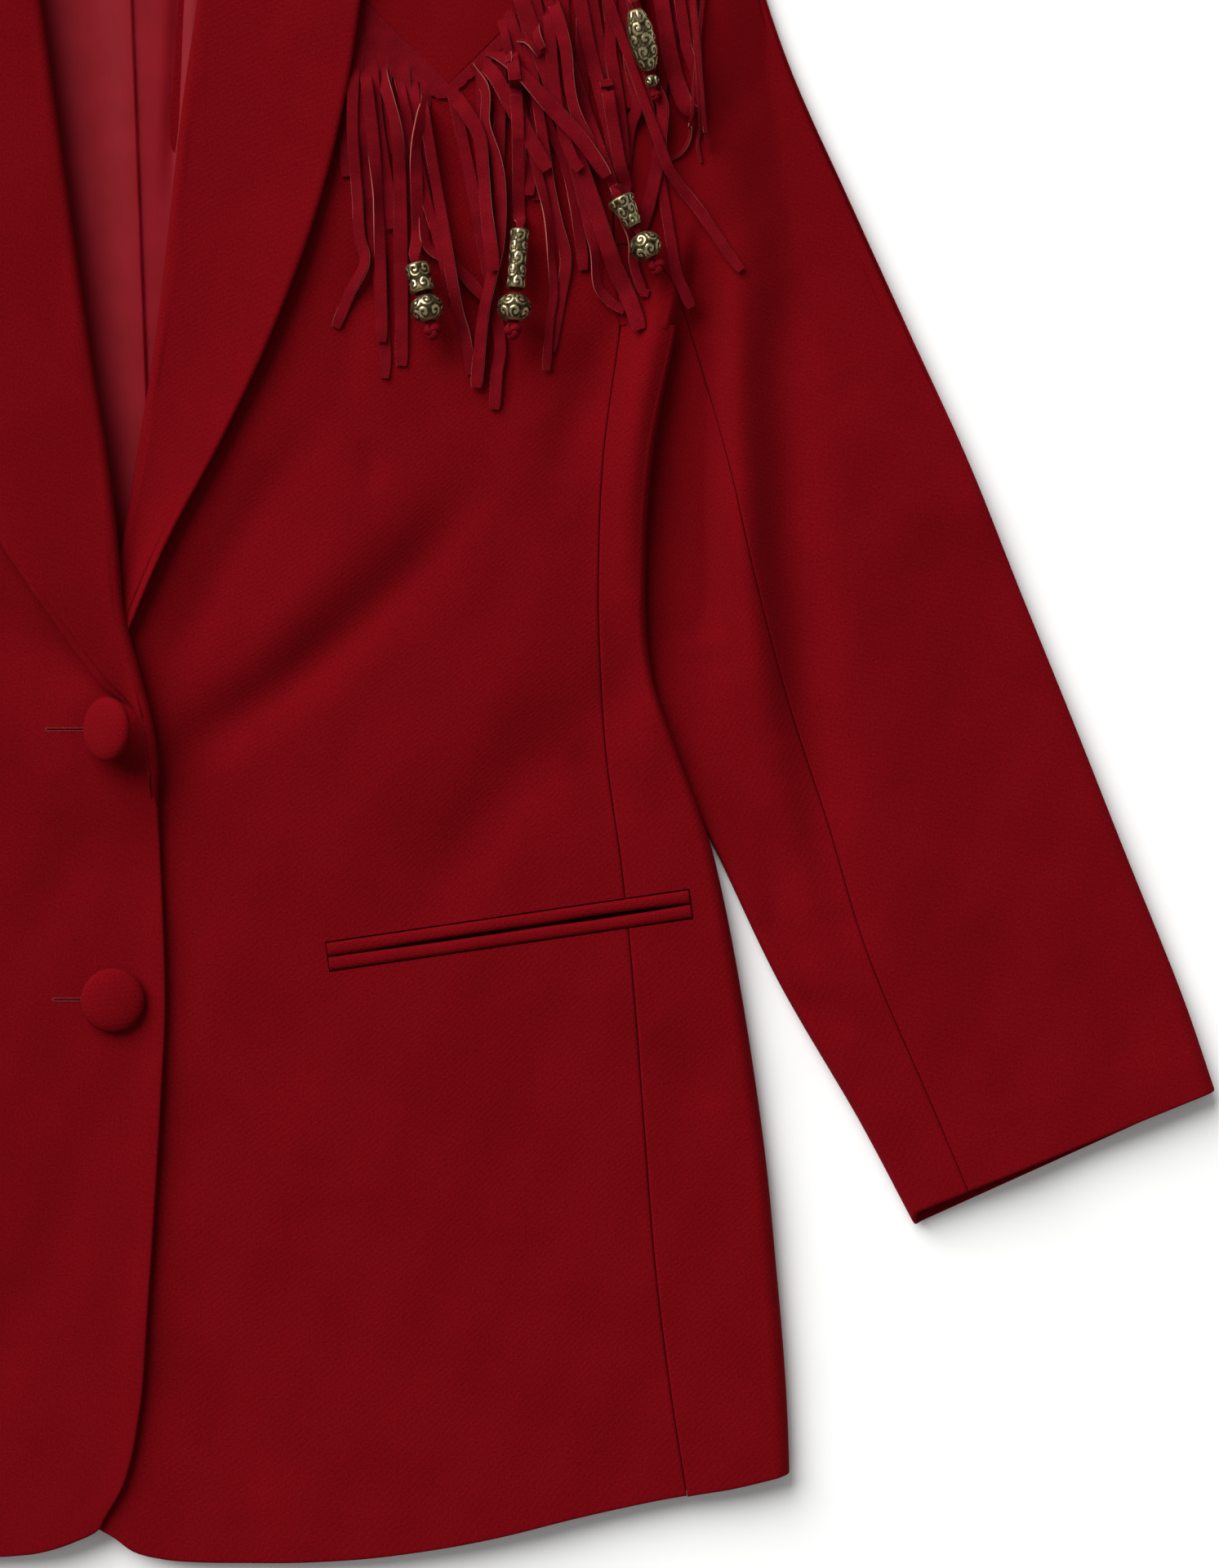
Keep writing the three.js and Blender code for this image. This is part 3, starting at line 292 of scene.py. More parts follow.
def at(rows, key, value, column):
    """The smooth curve of one column over another, through a table's rows."""
    x, y = rows[key], rows[column]
    place = np.arange(len(x))
    before, after = np.maximum(place - 1, 0), np.minimum(place + 1, len(x) - 1)
    slope = (y[after] - y[before]) / (x[after] - x[before])
    value = np.clip(value, x[0], x[-1])
    i = np.clip(np.searchsorted(x, value, "right") - 1, 0, len(x) - 2)
    step = x[i + 1] - x[i]
    t = (value - x[i]) / step
    near = y[i] * (1 + 2 * t) * (1 - t) ** 2 + slope[i] * step * t * (1 - t) ** 2
    far = y[i + 1] * t * t * (3 - 2 * t) - slope[i + 1] * step * t * t * (1 - t)
    return near + far


def spread(count, length, edges=True):
    """Even shares from 0 to 1; near the ends closer ones, where the cloth's edge rounds off."""
    even = np.linspace(0, 1, count + 1)
    if not edges:
        return even
    close = np.array([0.2, 0.5, 0.9, 1.5]) / length
    return np.unique(np.concatenate([even, close, 1 - close]))


def run_along(points):
    """Distance along a line from its first point to each of its points."""
    return np.concatenate([[0], np.cumsum(np.linalg.norm(np.diff(points, axis=0), axis=1))])


def unit(vectors):
    """The same vectors, each of length one."""
    return vectors / np.linalg.norm(vectors, axis=1, keepdims=True)


def through(points, per):
    """Smooth rows between the given ones: a Catmull-Rom curve with per steps to each."""
    points = np.asarray(points, float)
    padded = np.concatenate([2 * points[:1] - points[1:2], points, 2 * points[-1:] - points[-2:-1]])
    out = []
    for i in range(len(points) - 1):
        a, b, c, d = padded[i : i + 4]
        for t in np.linspace(0, 1, per, endpoint=False):
            out.append(
                0.5 * (2 * b + (c - a) * t + (2 * a - 5 * b + 4 * c - d) * t**2
                       + (3 * b - a - 3 * c + d) * t**3)
            )
    return np.array(out + [points[-1]])


def creased(rows, q, y, strength=1.0):
    """How much the creases of a table raise the cloth at each point."""
    q, y = np.broadcast_arrays(np.asarray(q, float), np.asarray(y, float))
    z = np.zeros(q.shape)
    steps = 7
    for q0, y0, q1, y1, bow, width, depth in zip(*(rows[name] for name in CREASE.split())):
        t = np.linspace(0, 1, steps + 1)
        span = math.hypot(q1 - q0, y1 - y0)
        arch = 4 * bow * t * (1 - t) / span
        px, py = mix(q0, q1, t) - arch * (y1 - y0), mix(y0, y1, t) + arch * (q1 - q0)
        nearest, along = np.full(q.shape, 1e9), np.zeros(q.shape)
        for k in range(steps):
            dx, dy = px[k + 1] - px[k], py[k + 1] - py[k]
            s = np.clip(((q - px[k]) * dx + (y - py[k]) * dy) / (dx * dx + dy * dy), 0, 1)
            gap = np.hypot(q - px[k] - s * dx, y - py[k] - s * dy)
            along = np.where(gap < nearest, (k + s) / steps, along)
            nearest = np.minimum(gap, nearest)
        fade = np.sqrt(np.sin(math.pi * np.clip(along, 0.02, 0.98)))
        z -= depth * strength * fade * np.exp(-((nearest / width) ** 2))
    return z


def drift(q, y):
    """The slow unevenness of cloth that has been worn and laid down."""
    return (
        0.5 * np.sin(0.061 * q + 0.023 * y + 1.0) * np.sin(0.043 * y - 0.013 * q)
        + 0.26 * np.sin(0.117 * y + 0.052 * q + 2.1)
        + 0.13 * np.sin(0.19 * q - 0.083 * y + 0.7)
    )


# ---------------------------------------------------------------- heights of the cloth's faces
SHOULDER_SLOPE = (SHOULDER_POINT[1] - NECK_POINT[1]) / (SHOULDER_POINT[0] - NECK_POINT[0])


def shoulder_y(q):
    """The height of the shoulder's seam."""
    return NECK_POINT[1] + SHOULDER_SLOPE * (q - NECK_POINT[0])


def back_underside(q, y):
    """The back's underside, which rests on the floor, on a tucked sleeve or on the collar."""
    a = np.abs(q)
    fold = at(SIDE, "y", y, "edge")
    lifted = at(SIDE, "y", y, "tuck") * (1 - ease(UNDERARM, UNDERARM + 30, y))
    over_sleeve = TUCK * lifted * ease(fold - 40, fold - 16, a)
    return over_sleeve + OVER_COLLAR * ease(722, 752, y) * (1 - ease(104, 130, a))


def front_top(half, q, y):
    """The outer face of a front, before its creases."""
    low_edge = mix(TOP_EDGE_LOW, TOP_EDGE_HIGH, ease(270, 345, y))
    edge_top = low_edge if half["roll"] == "top" else UNDER_EDGE_TOP
    open_top = mix(edge_top, FRONT_TOP, ease(26, 120, q))
    dip = 2.4 * np.exp(-(((q - 216) / 34) ** 2) - ((y - 503) / 40) ** 2)
    seated = back_underside(q, y) + 2 * WOOL + SEAM
    from_shoulder = np.clip((shoulder_y(q) - y) / SHOULDER_ROLL, 0, 1)
    return mix(seated, open_top - dip, np.sqrt(1 - (1 - from_shoulder) ** 2))


def fall_reach(half, y):
    """How far out the collar's fall covers the front at a height."""
    key = "under_edge" if half["roll"] == "under" else "top_edge"
    return at(COLLAR, "edge_y", y, key) * ease(322, 345, y)


def cloth_top(half, q, y):
    """The outer face of a front with its creases, which die out under the collar."""
    bare = np.where(y < 330, 1, ease(-14, 10, q - fall_reach(half, y)))
    bare = bare * ease(0, 40, shoulder_y(q) - y)
    for button in BUTTONS:
        bare = bare * (1 - np.exp(-(((q + button["x"]) ** 2 + (y - button["y"]) ** 2) / 420)))
    return front_top(half, q, y) + front_edge(half, q, y) + bare * body_crease(half, q, y)


def body_crease(half, q, y):
    """How much creases and unevenness raise the body's cloth."""
    depth = bpy.context.scene.blazer_cloth.crease_depth
    return creased(BODY_CREASES[half["name"]], q, y, depth) + drift(q * half["sign"], y)


# How the fronts' edges leave the tables' heights: lifted below the buttons and beside the
# upper one on the top front, and dipping under it on the other.
EDGE_LIFT, EDGE_LIFT_WIDTH = 1.5, 8.0
BUTTON_LIFT = {"depth": 3.0, "y": 334.0, "width": 24.0}
UNDER_DIP = {"depth": 1.1, "q": 26.0, "width": 17.0}


def front_edge(half, q, y):
    """The top front's edge stands up from the under one, which dips beside it."""
    if half["roll"] == "top":
        gap = q - at(FRONT_EDGES["top"], "y", y, "q")
        lifted = EDGE_LIFT * (1 - ease(250, 300, y)) * ease(8, 30, y)
        near = ((y - BUTTON_LIFT["y"]) / BUTTON_LIFT["width"]) ** 2
        by_button = BUTTON_LIFT["depth"] * np.exp(-near)
        return (lifted + by_button) * np.exp(-((gap / EDGE_LIFT_WIDTH) ** 2))
    dip = np.exp(-(((q - UNDER_DIP["q"]) / UNDER_DIP["width"]) ** 2))
    return -UNDER_DIP["depth"] * dip * (1 - ease(300, 350, y)) * ease(10, 60, y)


def front_inner(half, y):
    """How far out a front begins: at its edge, and above the break inside the collar's roll."""
    first = COLLAR["roll_y"][0]
    edge = at(FRONT_EDGES[half["roll"]], "y", y, "q")
    roll = at(COLLAR, "roll_y", y, half["roll"]) + ROLL_SET
    neck = mix(roll, NECK_EDGE, ease(700, 790, y))
    return mix(edge, neck, ease(first - 16, first, y))


def front_outer(y):
    """How far out a front ends: at the side panel's seam, and above the underarm at the sleeve."""
    below, above = at(SIDE, "y", y, "seam"), at(FRONT_ARMHOLE, "y", y, "q")
    return np.where(y < UNDERARM, below, above)


# ---------------------------------------------------------------- making meshes
def lengths(grid, axis):
    """Distance along the cloth from a grid's first row or column to each of its points."""
    steps = np.linalg.norm(np.diff(grid, axis=axis), axis=2)
    start = np.zeros_like(np.take(steps, [0], axis=axis))
    return np.concatenate([start, np.cumsum(steps, axis=axis)], axis=axis)


def soften(outer, inner, radius=1.1, last_row=True):
    """Rounds a wall's edges, so that cloth doesn't end like sheet metal."""
    gap = np.full(outer.shape[:2], 1e9)
    for axis in (0, 1):
        run = lengths(outer, axis)
        gap = np.minimum(gap, run)
        if axis == 1 or last_row:
            gap = np.minimum(gap, np.take(run, [-1], axis=axis) - run)
    near = 1 - np.clip(gap / radius, 0, 1)
    bend = (1 - np.sqrt(1 - near**2))[..., None]
    across = inner - outer
    return outer + 0.46 * bend * across, inner - 0.3 * bend * across


def corner_points(mesh):
    """Which point each corner of a mesh's faces is at."""
    corners = np.zeros(len(mesh.loops), np.int32)
    mesh.loops.foreach_get("vertex_index", corners)
    return corners


def make_active(piece):
    bpy.ops.object.select_all(action="DESELECT")
    piece.select_set(True)
    bpy.context.view_layer.objects.active = piece


def make_mesh(name, points, faces, grain=None, values=None, look=None):
    """An object of the given points, in millimetres above the hem, with a grain UV map."""
    points = np.asarray(points, float)
    place = (points - (0, LENGTH / 2, 0)) * MM
    mesh = bpy.data.meshes.new(name)
    mesh.from_pydata(place.tolist(), [], [list(face) for face in faces])
    mesh.polygons.foreach_set("use_smooth", [True] * len(mesh.polygons))
    if grain is not None:
        layer = mesh.uv_layers.new(name="grain")
        layer.data.foreach_set("uv", (np.asarray(grain)[corner_points(mesh)] * MM).ravel())
    for key, numbers in (values or {}).items():
        mesh.attributes.new(key, "FLOAT", "POINT").data.foreach_set("value", numbers)
    piece = bpy.data.objects.new(name, mesh)
    bpy.context.scene.collection.objects.link(piece)
    if look is not None:
        mesh.materials.append(look)
    return piece


def wall_faces(rows, columns):
    """The faces of a closed wall, whose outer grid of points comes before the inner one."""
    ids = np.arange(rows * columns).reshape(rows, columns)
    a, b, c, d = ids[:-1, :-1], ids[:-1, 1:], ids[1:, 1:], ids[1:, :-1]
    shift = rows * columns
    quads = [np.stack([a, b, c, d], -1).reshape(-1, 4)]
    quads.append(np.stack([a, d, c, b], -1).reshape(-1, 4) + shift)
    for edge in (ids[0], ids[::-1, 0], ids[-1, ::-1], ids[:, -1]):
        p, n = edge[:-1], edge[1:]
        quads.append(np.stack([p + shift, n + shift, n, p], -1))
    return np.concatenate(quads)


def wall(name, outer, inner, look):
    """A closed piece of cloth between an outer and an inner grid of points."""
    faces = wall_faces(*outer.shape[:2])
    points = np.concatenate([outer.reshape(-1, 3), inner.reshape(-1, 3)])
    corner = points[faces]
    first = np.cross(corner[:, 1] - corner[:, 0], corner[:, 2] - corner[:, 0])
    second = np.cross(corner[:, 2] - corner[:, 0], corner[:, 3] - corner[:, 0])
    if ((first + second) * corner.mean(1)).sum() < 0:
        faces = faces[:, ::-1]
    grain = np.stack([lengths(outer, 1), lengths(outer, 0)], -1)
    both = np.concatenate([grain.reshape(-1, 2)] * 2)
    return make_mesh(name, points, faces, both, look=look)


def settle(piece, slot, *nodes):
    """The piece rides on the garment's one body and hides the nodes that it stands for."""
    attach(piece, "root")
    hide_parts(*nodes)


def as_sheet(outer):
    """Works out a cloth piece's widest and longest run and its area laid flat, and does nothing
    with them.
    """
    width, length = lengths(outer, 1)[:, -1].max(), lengths(outer, 0)[-1].max()
    a, b = outer[:-1, :-1], outer[1:, 1:]
    c, d = outer[:-1, 1:], outer[1:, :-1]
    area = 0.5 * np.linalg.norm(np.cross(b - a, d - c), axis=2).sum()
    area = min(area, width * length)


# ---------------------------------------------------------------- materials
def linear(code):
    """An sRGB hex colour as the linear colour that shaders take."""
    parts = [int(code[i : i + 2], 16) / 255 for i in (1, 3, 5)]
    return tuple(c / 12.92 if c <= 0.04045 else ((c + 0.055) / 1.055) ** 2.4 for c in parts)


def feed(tree, node, inputs):
    """A node's inputs: sockets are linked, and other values written in."""
    for key, value in inputs.items():
        if isinstance(value, bpy.types.NodeSocket):
            tree.links.new(value, node.inputs[key])
        else:
            node.inputs[key].default_value = value


def add_node(tree, kind, inputs=None, **settings):
    """One node, with its settings and its inputs."""
    node = tree.nodes.new(kind)
    for key, value in settings.items():
        setattr(node, key, value)
    feed(tree, node, inputs or {})
    return node


def new_material(name):
    """An empty material with its tree and its Principled shader."""
    look = bpy.data.materials.get(name)
    if look:
        return look, None, None
    look = bpy.data.materials.new(name)
    look.use_nodes = True
    return look, look.node_tree, look.node_tree.nodes["Principled BSDF"]


def noise(tree, vector, size, detail=2.0, roughness=0.5, distortion=0.0):
    """Noise whose features are about size millimetres across."""
    settings = {"Vector": vector, "Scale": 1 / (size * MM), "Detail": detail,
                "Roughness": roughness, "Distortion": distortion}
    return add_node(tree, "ShaderNodeTexNoise", settings).outputs["Fac"]


def ramp(tree, factor, stops):
    """Colours along a factor, as (place, colour) stops."""
    node = add_node(tree, "ShaderNodeValToRGB", {"Fac": factor})
    for i, (place, colour) in enumerate(stops):
        stop = node.color_ramp.elements[i] if i < 2 else node.color_ramp.elements.new(place)
        stop.position, stop.color = place, (*linear(colour), 1)
    return node.outputs["Color"]


def blend(tree, pattern, share, base):
    """A share of one pattern on top of another."""
    inputs = {0: pattern, 1: share, 2: base}
    return add_node(tree, "ShaderNodeMath", inputs, operation="MULTIPLY_ADD").outputs["Value"]


def bumped(tree, height, strength, depth):
    """A normal for a height pattern that is depth millimetres from low to high."""
    inputs = {"Height": height, "Strength": strength, "Distance": depth * MM}
    return add_node(tree, "ShaderNodeBump", inputs).outputs["Normal"]


def brushed_wool():
    """Wool flannel, woven as a 2/2 twill, fulled and brushed: the nap hides all but a trace
    of the diagonal, gives the eye a soft grain and takes the gloss away."""
    look, tree, shader = new_material("brushed_wool_twill")
    if tree is None:
        return look
    settings = bpy.context.scene.blazer_cloth
    uv = add_node(tree, "ShaderNodeUVMap", uv_map="grain").outputs["UV"]
    nap = noise(tree, uv, 0.9, 3, 0.62)
    mottle = noise(tree, uv, 14, 3, 0.55)
    # Real twill lines are 0.5 mm apart; these are drawn twice as coarse, so that they show.
    turned = add_node(tree, "ShaderNodeMapping", {"Vector": uv, "Rotation": (0, 0, 0.96)})
    twill = add_node(
        tree, "ShaderNodeTexWave",
        {"Vector": turned.outputs["Vector"], "Scale": 1 / (settings.twill_pitch * 6.283),
         "Distortion": 2.2, "Detail": 2.0, "Detail Scale": 1.6},
    ).outputs["Fac"]
    base = ramp(tree, nap, [(0.3, settings.wool_dark), (0.72, settings.wool_light)])
    cloudy = add_node(
        tree, "ShaderNodeMix",
        {"Factor": mottle, "A": (0.9, 0.9, 0.9, 1), "B": (1.08, 1.08, 1.08, 1)},
        data_type="RGBA",
    )
    colour = add_node(
        tree, "ShaderNodeMix", {"Factor": 1.0, "A": base, "B": cloudy.outputs["Result"]},
        data_type="RGBA", blend_type="MULTIPLY",
    )
    feed(tree, shader, {
        "Base Color": colour.outputs["Result"], "Roughness": 1.0, "Specular IOR Level": 0.04,
        "Sheen Weight": 0.07, "Sheen Roughness": 0.55, "Sheen Tint": (*linear("#c0202a"), 1),
        "Normal": bumped(tree, blend(tree, twill, 0.22, nap), 0.55, 0.28),
    })
    return look


def satin():
    """Acetate satin, woven with long floats: smooth, with a soft gloss and fine cross threads."""
    look, tree, shader = new_material("satin_weave")
    if tree is None:
        return look
    settings = bpy.context.scene.blazer_cloth
    uv = add_node(tree, "ShaderNodeUVMap", uv_map="grain").outputs["UV"]
    # Satin threads are 0.15 mm apart; these are drawn six times as coarse, so that they show.
    long_way = add_node(tree, "ShaderNodeMapping", {"Vector": uv, "Scale": (1, 0.12, 1)})
    threads = noise(tree, long_way.outputs["Vector"], 0.9, 2, 0.5)
    cloudy = noise(tree, uv, 22, 2, 0.5)
    colour = ramp(tree, blend(tree, threads, 0.25, cloudy),
                  [(0.35, settings.lining_dark), (0.9, settings.lining_light)])
    feed(tree, shader, {"Base Color": colour, "Roughness": 0.5, "Specular IOR Level": 0.1,
                        "Normal": bumped(tree, threads, 0.08, 0.02)})
    return look


def suede():
    """Split cowhide, sueded and dyed: a short matt nap that lies in patches, and pale cut
    edges where the dye didn't reach the fibres inside. The same pale colour is painted as a
    highlight along one top edge of each strip."""
    look, tree, shader = new_material("dyed_suede")
    if tree is None:
        return look
    settings = bpy.context.scene.blazer_fringe
    uv = add_node(tree, "ShaderNodeUVMap", uv_map="grain").outputs["UV"]
    nap = noise(tree, uv, 0.7, 3, 0.65)
    patches = noise(tree, uv, 7, 3, 0.6)
    face = ramp(tree, blend(tree, patches, 0.55, nap),
                [(0.5, settings.suede_dark), (1.05, settings.suede_light)])
    # cut is 1 on the strips' cut edges, and along one top edge of a strip it carries the painted
    # highlight.
    cut = add_node(tree, "ShaderNodeAttribute", attribute_name="cut").outputs["Fac"]
    frayed_cut_and_highlight = blend(tree, nap, 0.5, cut)
    share = add_node(tree, "ShaderNodeMapRange",
                     {"Value": frayed_cut_and_highlight, "From Min": 0.98, "From Max": 1.28})
    colour = add_node(
        tree, "ShaderNodeMix",
        {"Factor": share.outputs["Result"], "A": face, "B": (*linear(settings.cut_edge_and_highlight), 1)},
        data_type="RGBA",
    )
    feed(tree, shader, {
        "Base Color": colour.outputs["Result"], "Roughness": 1.0, "Specular IOR Level": 0.05,
        "Sheen Weight": 0.05, "Sheen Roughness": 0.6, "Sheen Tint": (*linear("#b02c38"), 1),
        "Normal": bumped(tree, nap, 0.6, 0.25),
    })
    return look


def antique_brass():
    """Cast brass, engraved, blackened and buffed: pale worn high places, dark hollows."""
    look, tree, shader = new_material("antique_cast_brass")
    if tree is None:
        return look
    place = add_node(tree, "ShaderNodeTexCoord").outputs["Object"]
    relief = add_node(tree, "ShaderNodeAttribute", attribute_name="relief").outputs["Fac"]
    grime = noise(tree, place, 1.6, 3, 0.6)
    worn = blend(tree, grime, 0.5, relief)
    colour = ramp(tree, worn, [(0.2, "#2a2318"), (1.0, "#c6b88f"), (0.6, "#75684a")])
    gloss = add_node(tree, "ShaderNodeMapRange",
                     {"Value": worn, "From Min": 0.3, "From Max": 1.1, "To Min": 0.62,
                      "To Max": 0.26})
    pitted = noise(tree, place, 0.5, 2, 0.5)
    feed(tree, shader, {"Base Color": colour, "Roughness": gloss.outputs["Result"],
                        "Metallic": 1.0, "Normal": bumped(tree, pitted, 0.25, 0.08)})
    return look


def mottled(name, size, stops, roughness):
    """A dull material between two colours, in patches about size millimetres across."""
    look, tree, shader = new_material(name)
    if tree is None:
        return look
    place = add_node(tree, "ShaderNodeTexCoord").outputs["Object"]
    colour = ramp(tree, noise(tree, place, size, 2, 0.5), stops)
    feed(tree, shader, {"Base Color": colour, "Roughness": roughness, "Specular IOR Level": 0.1})
    return look


def button_thread():
    """Mercerised polyester thread, twisted: a little gloss on a dull pinkish red."""
    return mottled("twisted_thread", 0.6, [(0.35, "#701820"), (0.7, "#8c2c34")], 0.9)


def pale_floor():
    """A painted board, rolled matt: white, with hardly any grain."""
    return mottled("matt_painted_board", 60, [(0.3, "#fafaf9"), (0.7, "#fdfdfc")], 1.0)


# ---------------------------------------------------------------- settings
class BlazerCloth(bpy.types.PropertyGroup):
    """Colours and fall of the wool and the lining."""

    wool_dark: bpy.props.StringProperty(
        name="Wool, dark", description="Colour between the fibres of the nap", default="#5b030a"
    )
    wool_light: bpy.props.StringProperty(
        name="Wool, light", description="Colour of the fibres on top", default="#77070f"
    )
    lining_dark: bpy.props.StringProperty(
        name="Lining, dark", description="Darker colour of the satin", default="#780512"
    )
    lining_light: bpy.props.StringProperty(
        name="Lining, light", description="Lighter colour of the satin", default="#860c1b"
    )
    twill_pitch: bpy.props.FloatProperty(
        name="Twill pitch", description="Distance between the diagonal lines",
        default=0.0011, unit="LENGTH",
    )
    crease_depth: bpy.props.FloatProperty(
        name="Crease depth", description="How deep the creases are, 1 as laid out",
        default=1.0, min=0, max=1.5, subtype="FACTOR",
    )


class BlazerFringe(bpy.types.PropertyGroup):
    """Colours and sizes of the suede fringe."""

    suede_dark: bpy.props.StringProperty(
        name="Suede, dark", description="Colour where the nap lies away", default="#52040c"
    )
    suede_light: bpy.props.StringProperty(
        name="Suede, light", description="Colour where the nap catches light", default="#760a16"
    )
    # The cut edges' own colour, which is also painted as a highlight along one top edge of each
    # strip.
    cut_edge_and_highlight: bpy.props.StringProperty(
        name="Cut edge", description="Colour of the strips' cut edges", default="#b5645c"
    )
    strip_thickness: bpy.props.FloatProperty(
        name="Strip thickness", description="Thickness of the suede", default=0.001,
        unit="LENGTH",
    )
    seed: bpy.props.IntProperty(
        name="Seed", description="Order of the strips on the half that hangs by chance", default=5
    )


class BlazerLight(bpy.types.PropertyGroup):
    """Strength and width of the studio light."""

    sky: bpy.props.FloatProperty(
        name="Sky", description="Strength of the light from all round", default=0.3, min=0
    )
    key: bpy.props.FloatProperty(
        name="Key", description="Strength of the soft light from the upper left", default=4.45,
        min=0,
    )
    spread: bpy.props.FloatProperty(
        name="Spread", description="How wide the soft light is", default=math.radians(54),
        subtype="ANGLE",
    )


# ---------------------------------------------------------------- body panels
SHARP_ABOVE = math.radians(40)  # edges sharper than this stay sharp
POCKET_WINDOW = (74.4, 6.2)  # half length and half width of the window that holds the welts
BUTTONHOLE = {"length": 24.0, "width": 0.3, "eye": 2.9}


def prism(name, outline, low, high):
    """A closed upright block, for cutting windows and slits."""
    turn = sum(a[0] * b[1] - a[1] * b[0] for a, b in zip(outline, outline[1:] + outline[:1]))
    outline = outline if turn > 0 else outline[::-1]
    count = len(outline)
    points = [(x, y, z) for z in (low, high) for x, y in outline]
    after = [(i + 1) % count for i in range(count)]
    sides = [(i, after[i], after[i] + count, i + count) for i in range(count)]
    ends = [tuple(range(count))[::-1], tuple(range(count, 2 * count))]
    return make_mesh(name, points, sides + ends)


def cut_out(piece, cutter):
    """Takes the cutter's shape out of the piece."""
    make_active(piece)
    change = piece.modifiers.new("cut", "BOOLEAN")
    change.operation, change.solver, change.object = "DIFFERENCE", "MANIFOLD", cutter
    bpy.ops.object.modifier_apply(modifier=change.name)
    bpy.data.objects.remove(cutter)
    bpy.ops.object.shade_smooth_by_angle(angle=SHARP_ABOVE)


def pocket_point(s, t):
    """The place s along the pocket and t above its middle line."""
    cos, sin = math.cos(POCKET_TILT), math.sin(POCKET_TILT)
    return POCKET_MIDDLE[0] + cos * s - sin * t, POCKET_MIDDLE[1] + sin * s + cos * t


def pocket_window(half):
    """The block that cuts a pocket's window."""
    long, tall = POCKET_WINDOW
    corners = [pocket_point(s * long, t * tall) for s, t in ((-1, -1), (1, -1), (1, 1), (-1, 1))]
    return prism("window", [(half["sign"] * q, y) for q, y in corners], 2.5, 40)


def buttonhole_slit(button):
    """The block that cuts a buttonhole: a slit that ends in a round eye at the button."""
    eye, wide = BUTTONHOLE["eye"], BUTTONHOLE["width"] / 2
    opening = math.asin(wide / eye)
    angles = np.linspace(-math.pi + opening, math.pi - opening, 25)
    outline = [(button["x"] + eye * math.cos(a), button["y"] + eye * math.sin(a)) for a in angles]
    end = button["x"] - BUTTONHOLE["length"]
    outline += [(end, button["y"] + wide), (end, button["y"] - wide)]
    return prism("slit", outline, 9.2 if button["rise"] == 0 else 9.6, 40)


def front_grid(half, up):
    """One face of a front, up above its cloth's outer face."""
    hem = HEMS[half["roll"]]
    u = spread(104, 220)[None, :]
    v = spread(220, 700)[:, None]
    low = at(hem, "q", mix(hem["q"][0], SEAM_HEM_Q, u), "y")
    y = mix(low, shoulder_y(mix(NECK_EDGE, SHOULDER_POINT[0], u)), v)
    q = mix(front_inner(half, y), front_outer(y), u)
    return np.stack([half["sign"] * q, y, cloth_top(half, q, y) + up], -1)


class BLAZER_OT_fronts(bpy.types.Operator):
    """The two fronts, with windows for the pockets and slits for the buttons cut through"""

    bl_idname = "blazer.fronts"
    bl_label = "Fronts"

    def execute(self, context):
        for half in HALVES:
            outer, inner = front_grid(half, 0), front_grid(half, -WOOL)
            piece = wall(f"wool_front_{half['name']}", *soften(outer, inner), brushed_wool())
            cut_out(piece, pocket_window(half))
            if half["roll"] == "top":
                for button in BUTTONS:
                    cut_out(piece, buttonhole_slit(button))
            settle(piece, "red_wool", f"front_{half['name']}")
            sewn_on = [f"wool_{part}_welt_{half['name']}" for part in ("upper", "lower")]
            if half["roll"] == "top":
                sewn_on += [f"thread_hole_{button['name'][7:]}" for button in BUTTONS]
            as_sheet(outer)
        return {"FINISHED"}


def side_section(half, y):
    """A side panel's section at each height: top, round the fold, and underneath."""
    fold, seam = at(SIDE, "y", y, "edge"), at(SIDE, "y", y, "seam") + SEAM
    low, high = back_underside(fold, y), front_top(half, fold - FOLD_SHOULDER, y)
    radius = (high - low) / 2
    outer, inner = [], []
    for share in spread(20, 30)[:-1]:
        q = mix(seam, fold - radius, share)
        top = front_top(half, np.minimum(q, fold - FOLD_SHOULDER), y) + body_crease(half, q, y)
        outer.append((q, top))
        inner.append((q, top - WOOL))
    last = body_crease(half, fold - radius, y)
    for angle in np.linspace(math.pi / 2, -math.pi / 2, 17):
        drop = last * (1 + math.sin(angle)) / 2
        for rows, r in ((outer, radius), (inner, radius - WOOL)):
            rows.append((fold - radius + r * math.cos(angle),
                         (high + low) / 2 + r * math.sin(angle) + drop))
    for share in spread(10, 28)[1:]:
        q = mix(fold - radius, fold - BACK_SEAM_IN, share)
        outer.append((q, back_underside(q, y)))
        inner.append((q, back_underside(q, y) + WOOL))
    return outer, inner


class BLAZER_OT_side_panels(bpy.types.Operator):
    """The side panels, round both side folds to the seams of the back"""

    bl_idname = "blazer.side_panels"
    bl_label = "Side panels"

    def execute(self, context):
        for half in HALVES:
            hem_section = side_section(half, np.array(36.0))[0]
            lows = np.array([float(at(HEMS["under"], "q", q, "y")) for q, _ in hem_section])
            v = spread(120, 470)[:, None]
            y = mix(lows[None, :], UNDERARM + 1.5 * SEAM, v)
            grids = []
            for side in range(2):
                columns = [side_section(half, y[:, j])[side][j] for j in range(len(lows))]
                q, z = (np.stack(part, 1) for part in zip(*columns))
                grids.append(np.stack([half["sign"] * q, y, z], -1))
            walls = soften(*grids, last_row=False)
            piece = wall(f"wool_side_panel_{half['name']}", *walls, brushed_wool())
            cut_out(piece, pocket_window(half))
            settle(piece, "red_wool", f"side_panel_{half['name']}")
            as_sheet(grids[0])
        return {"FINISHED"}


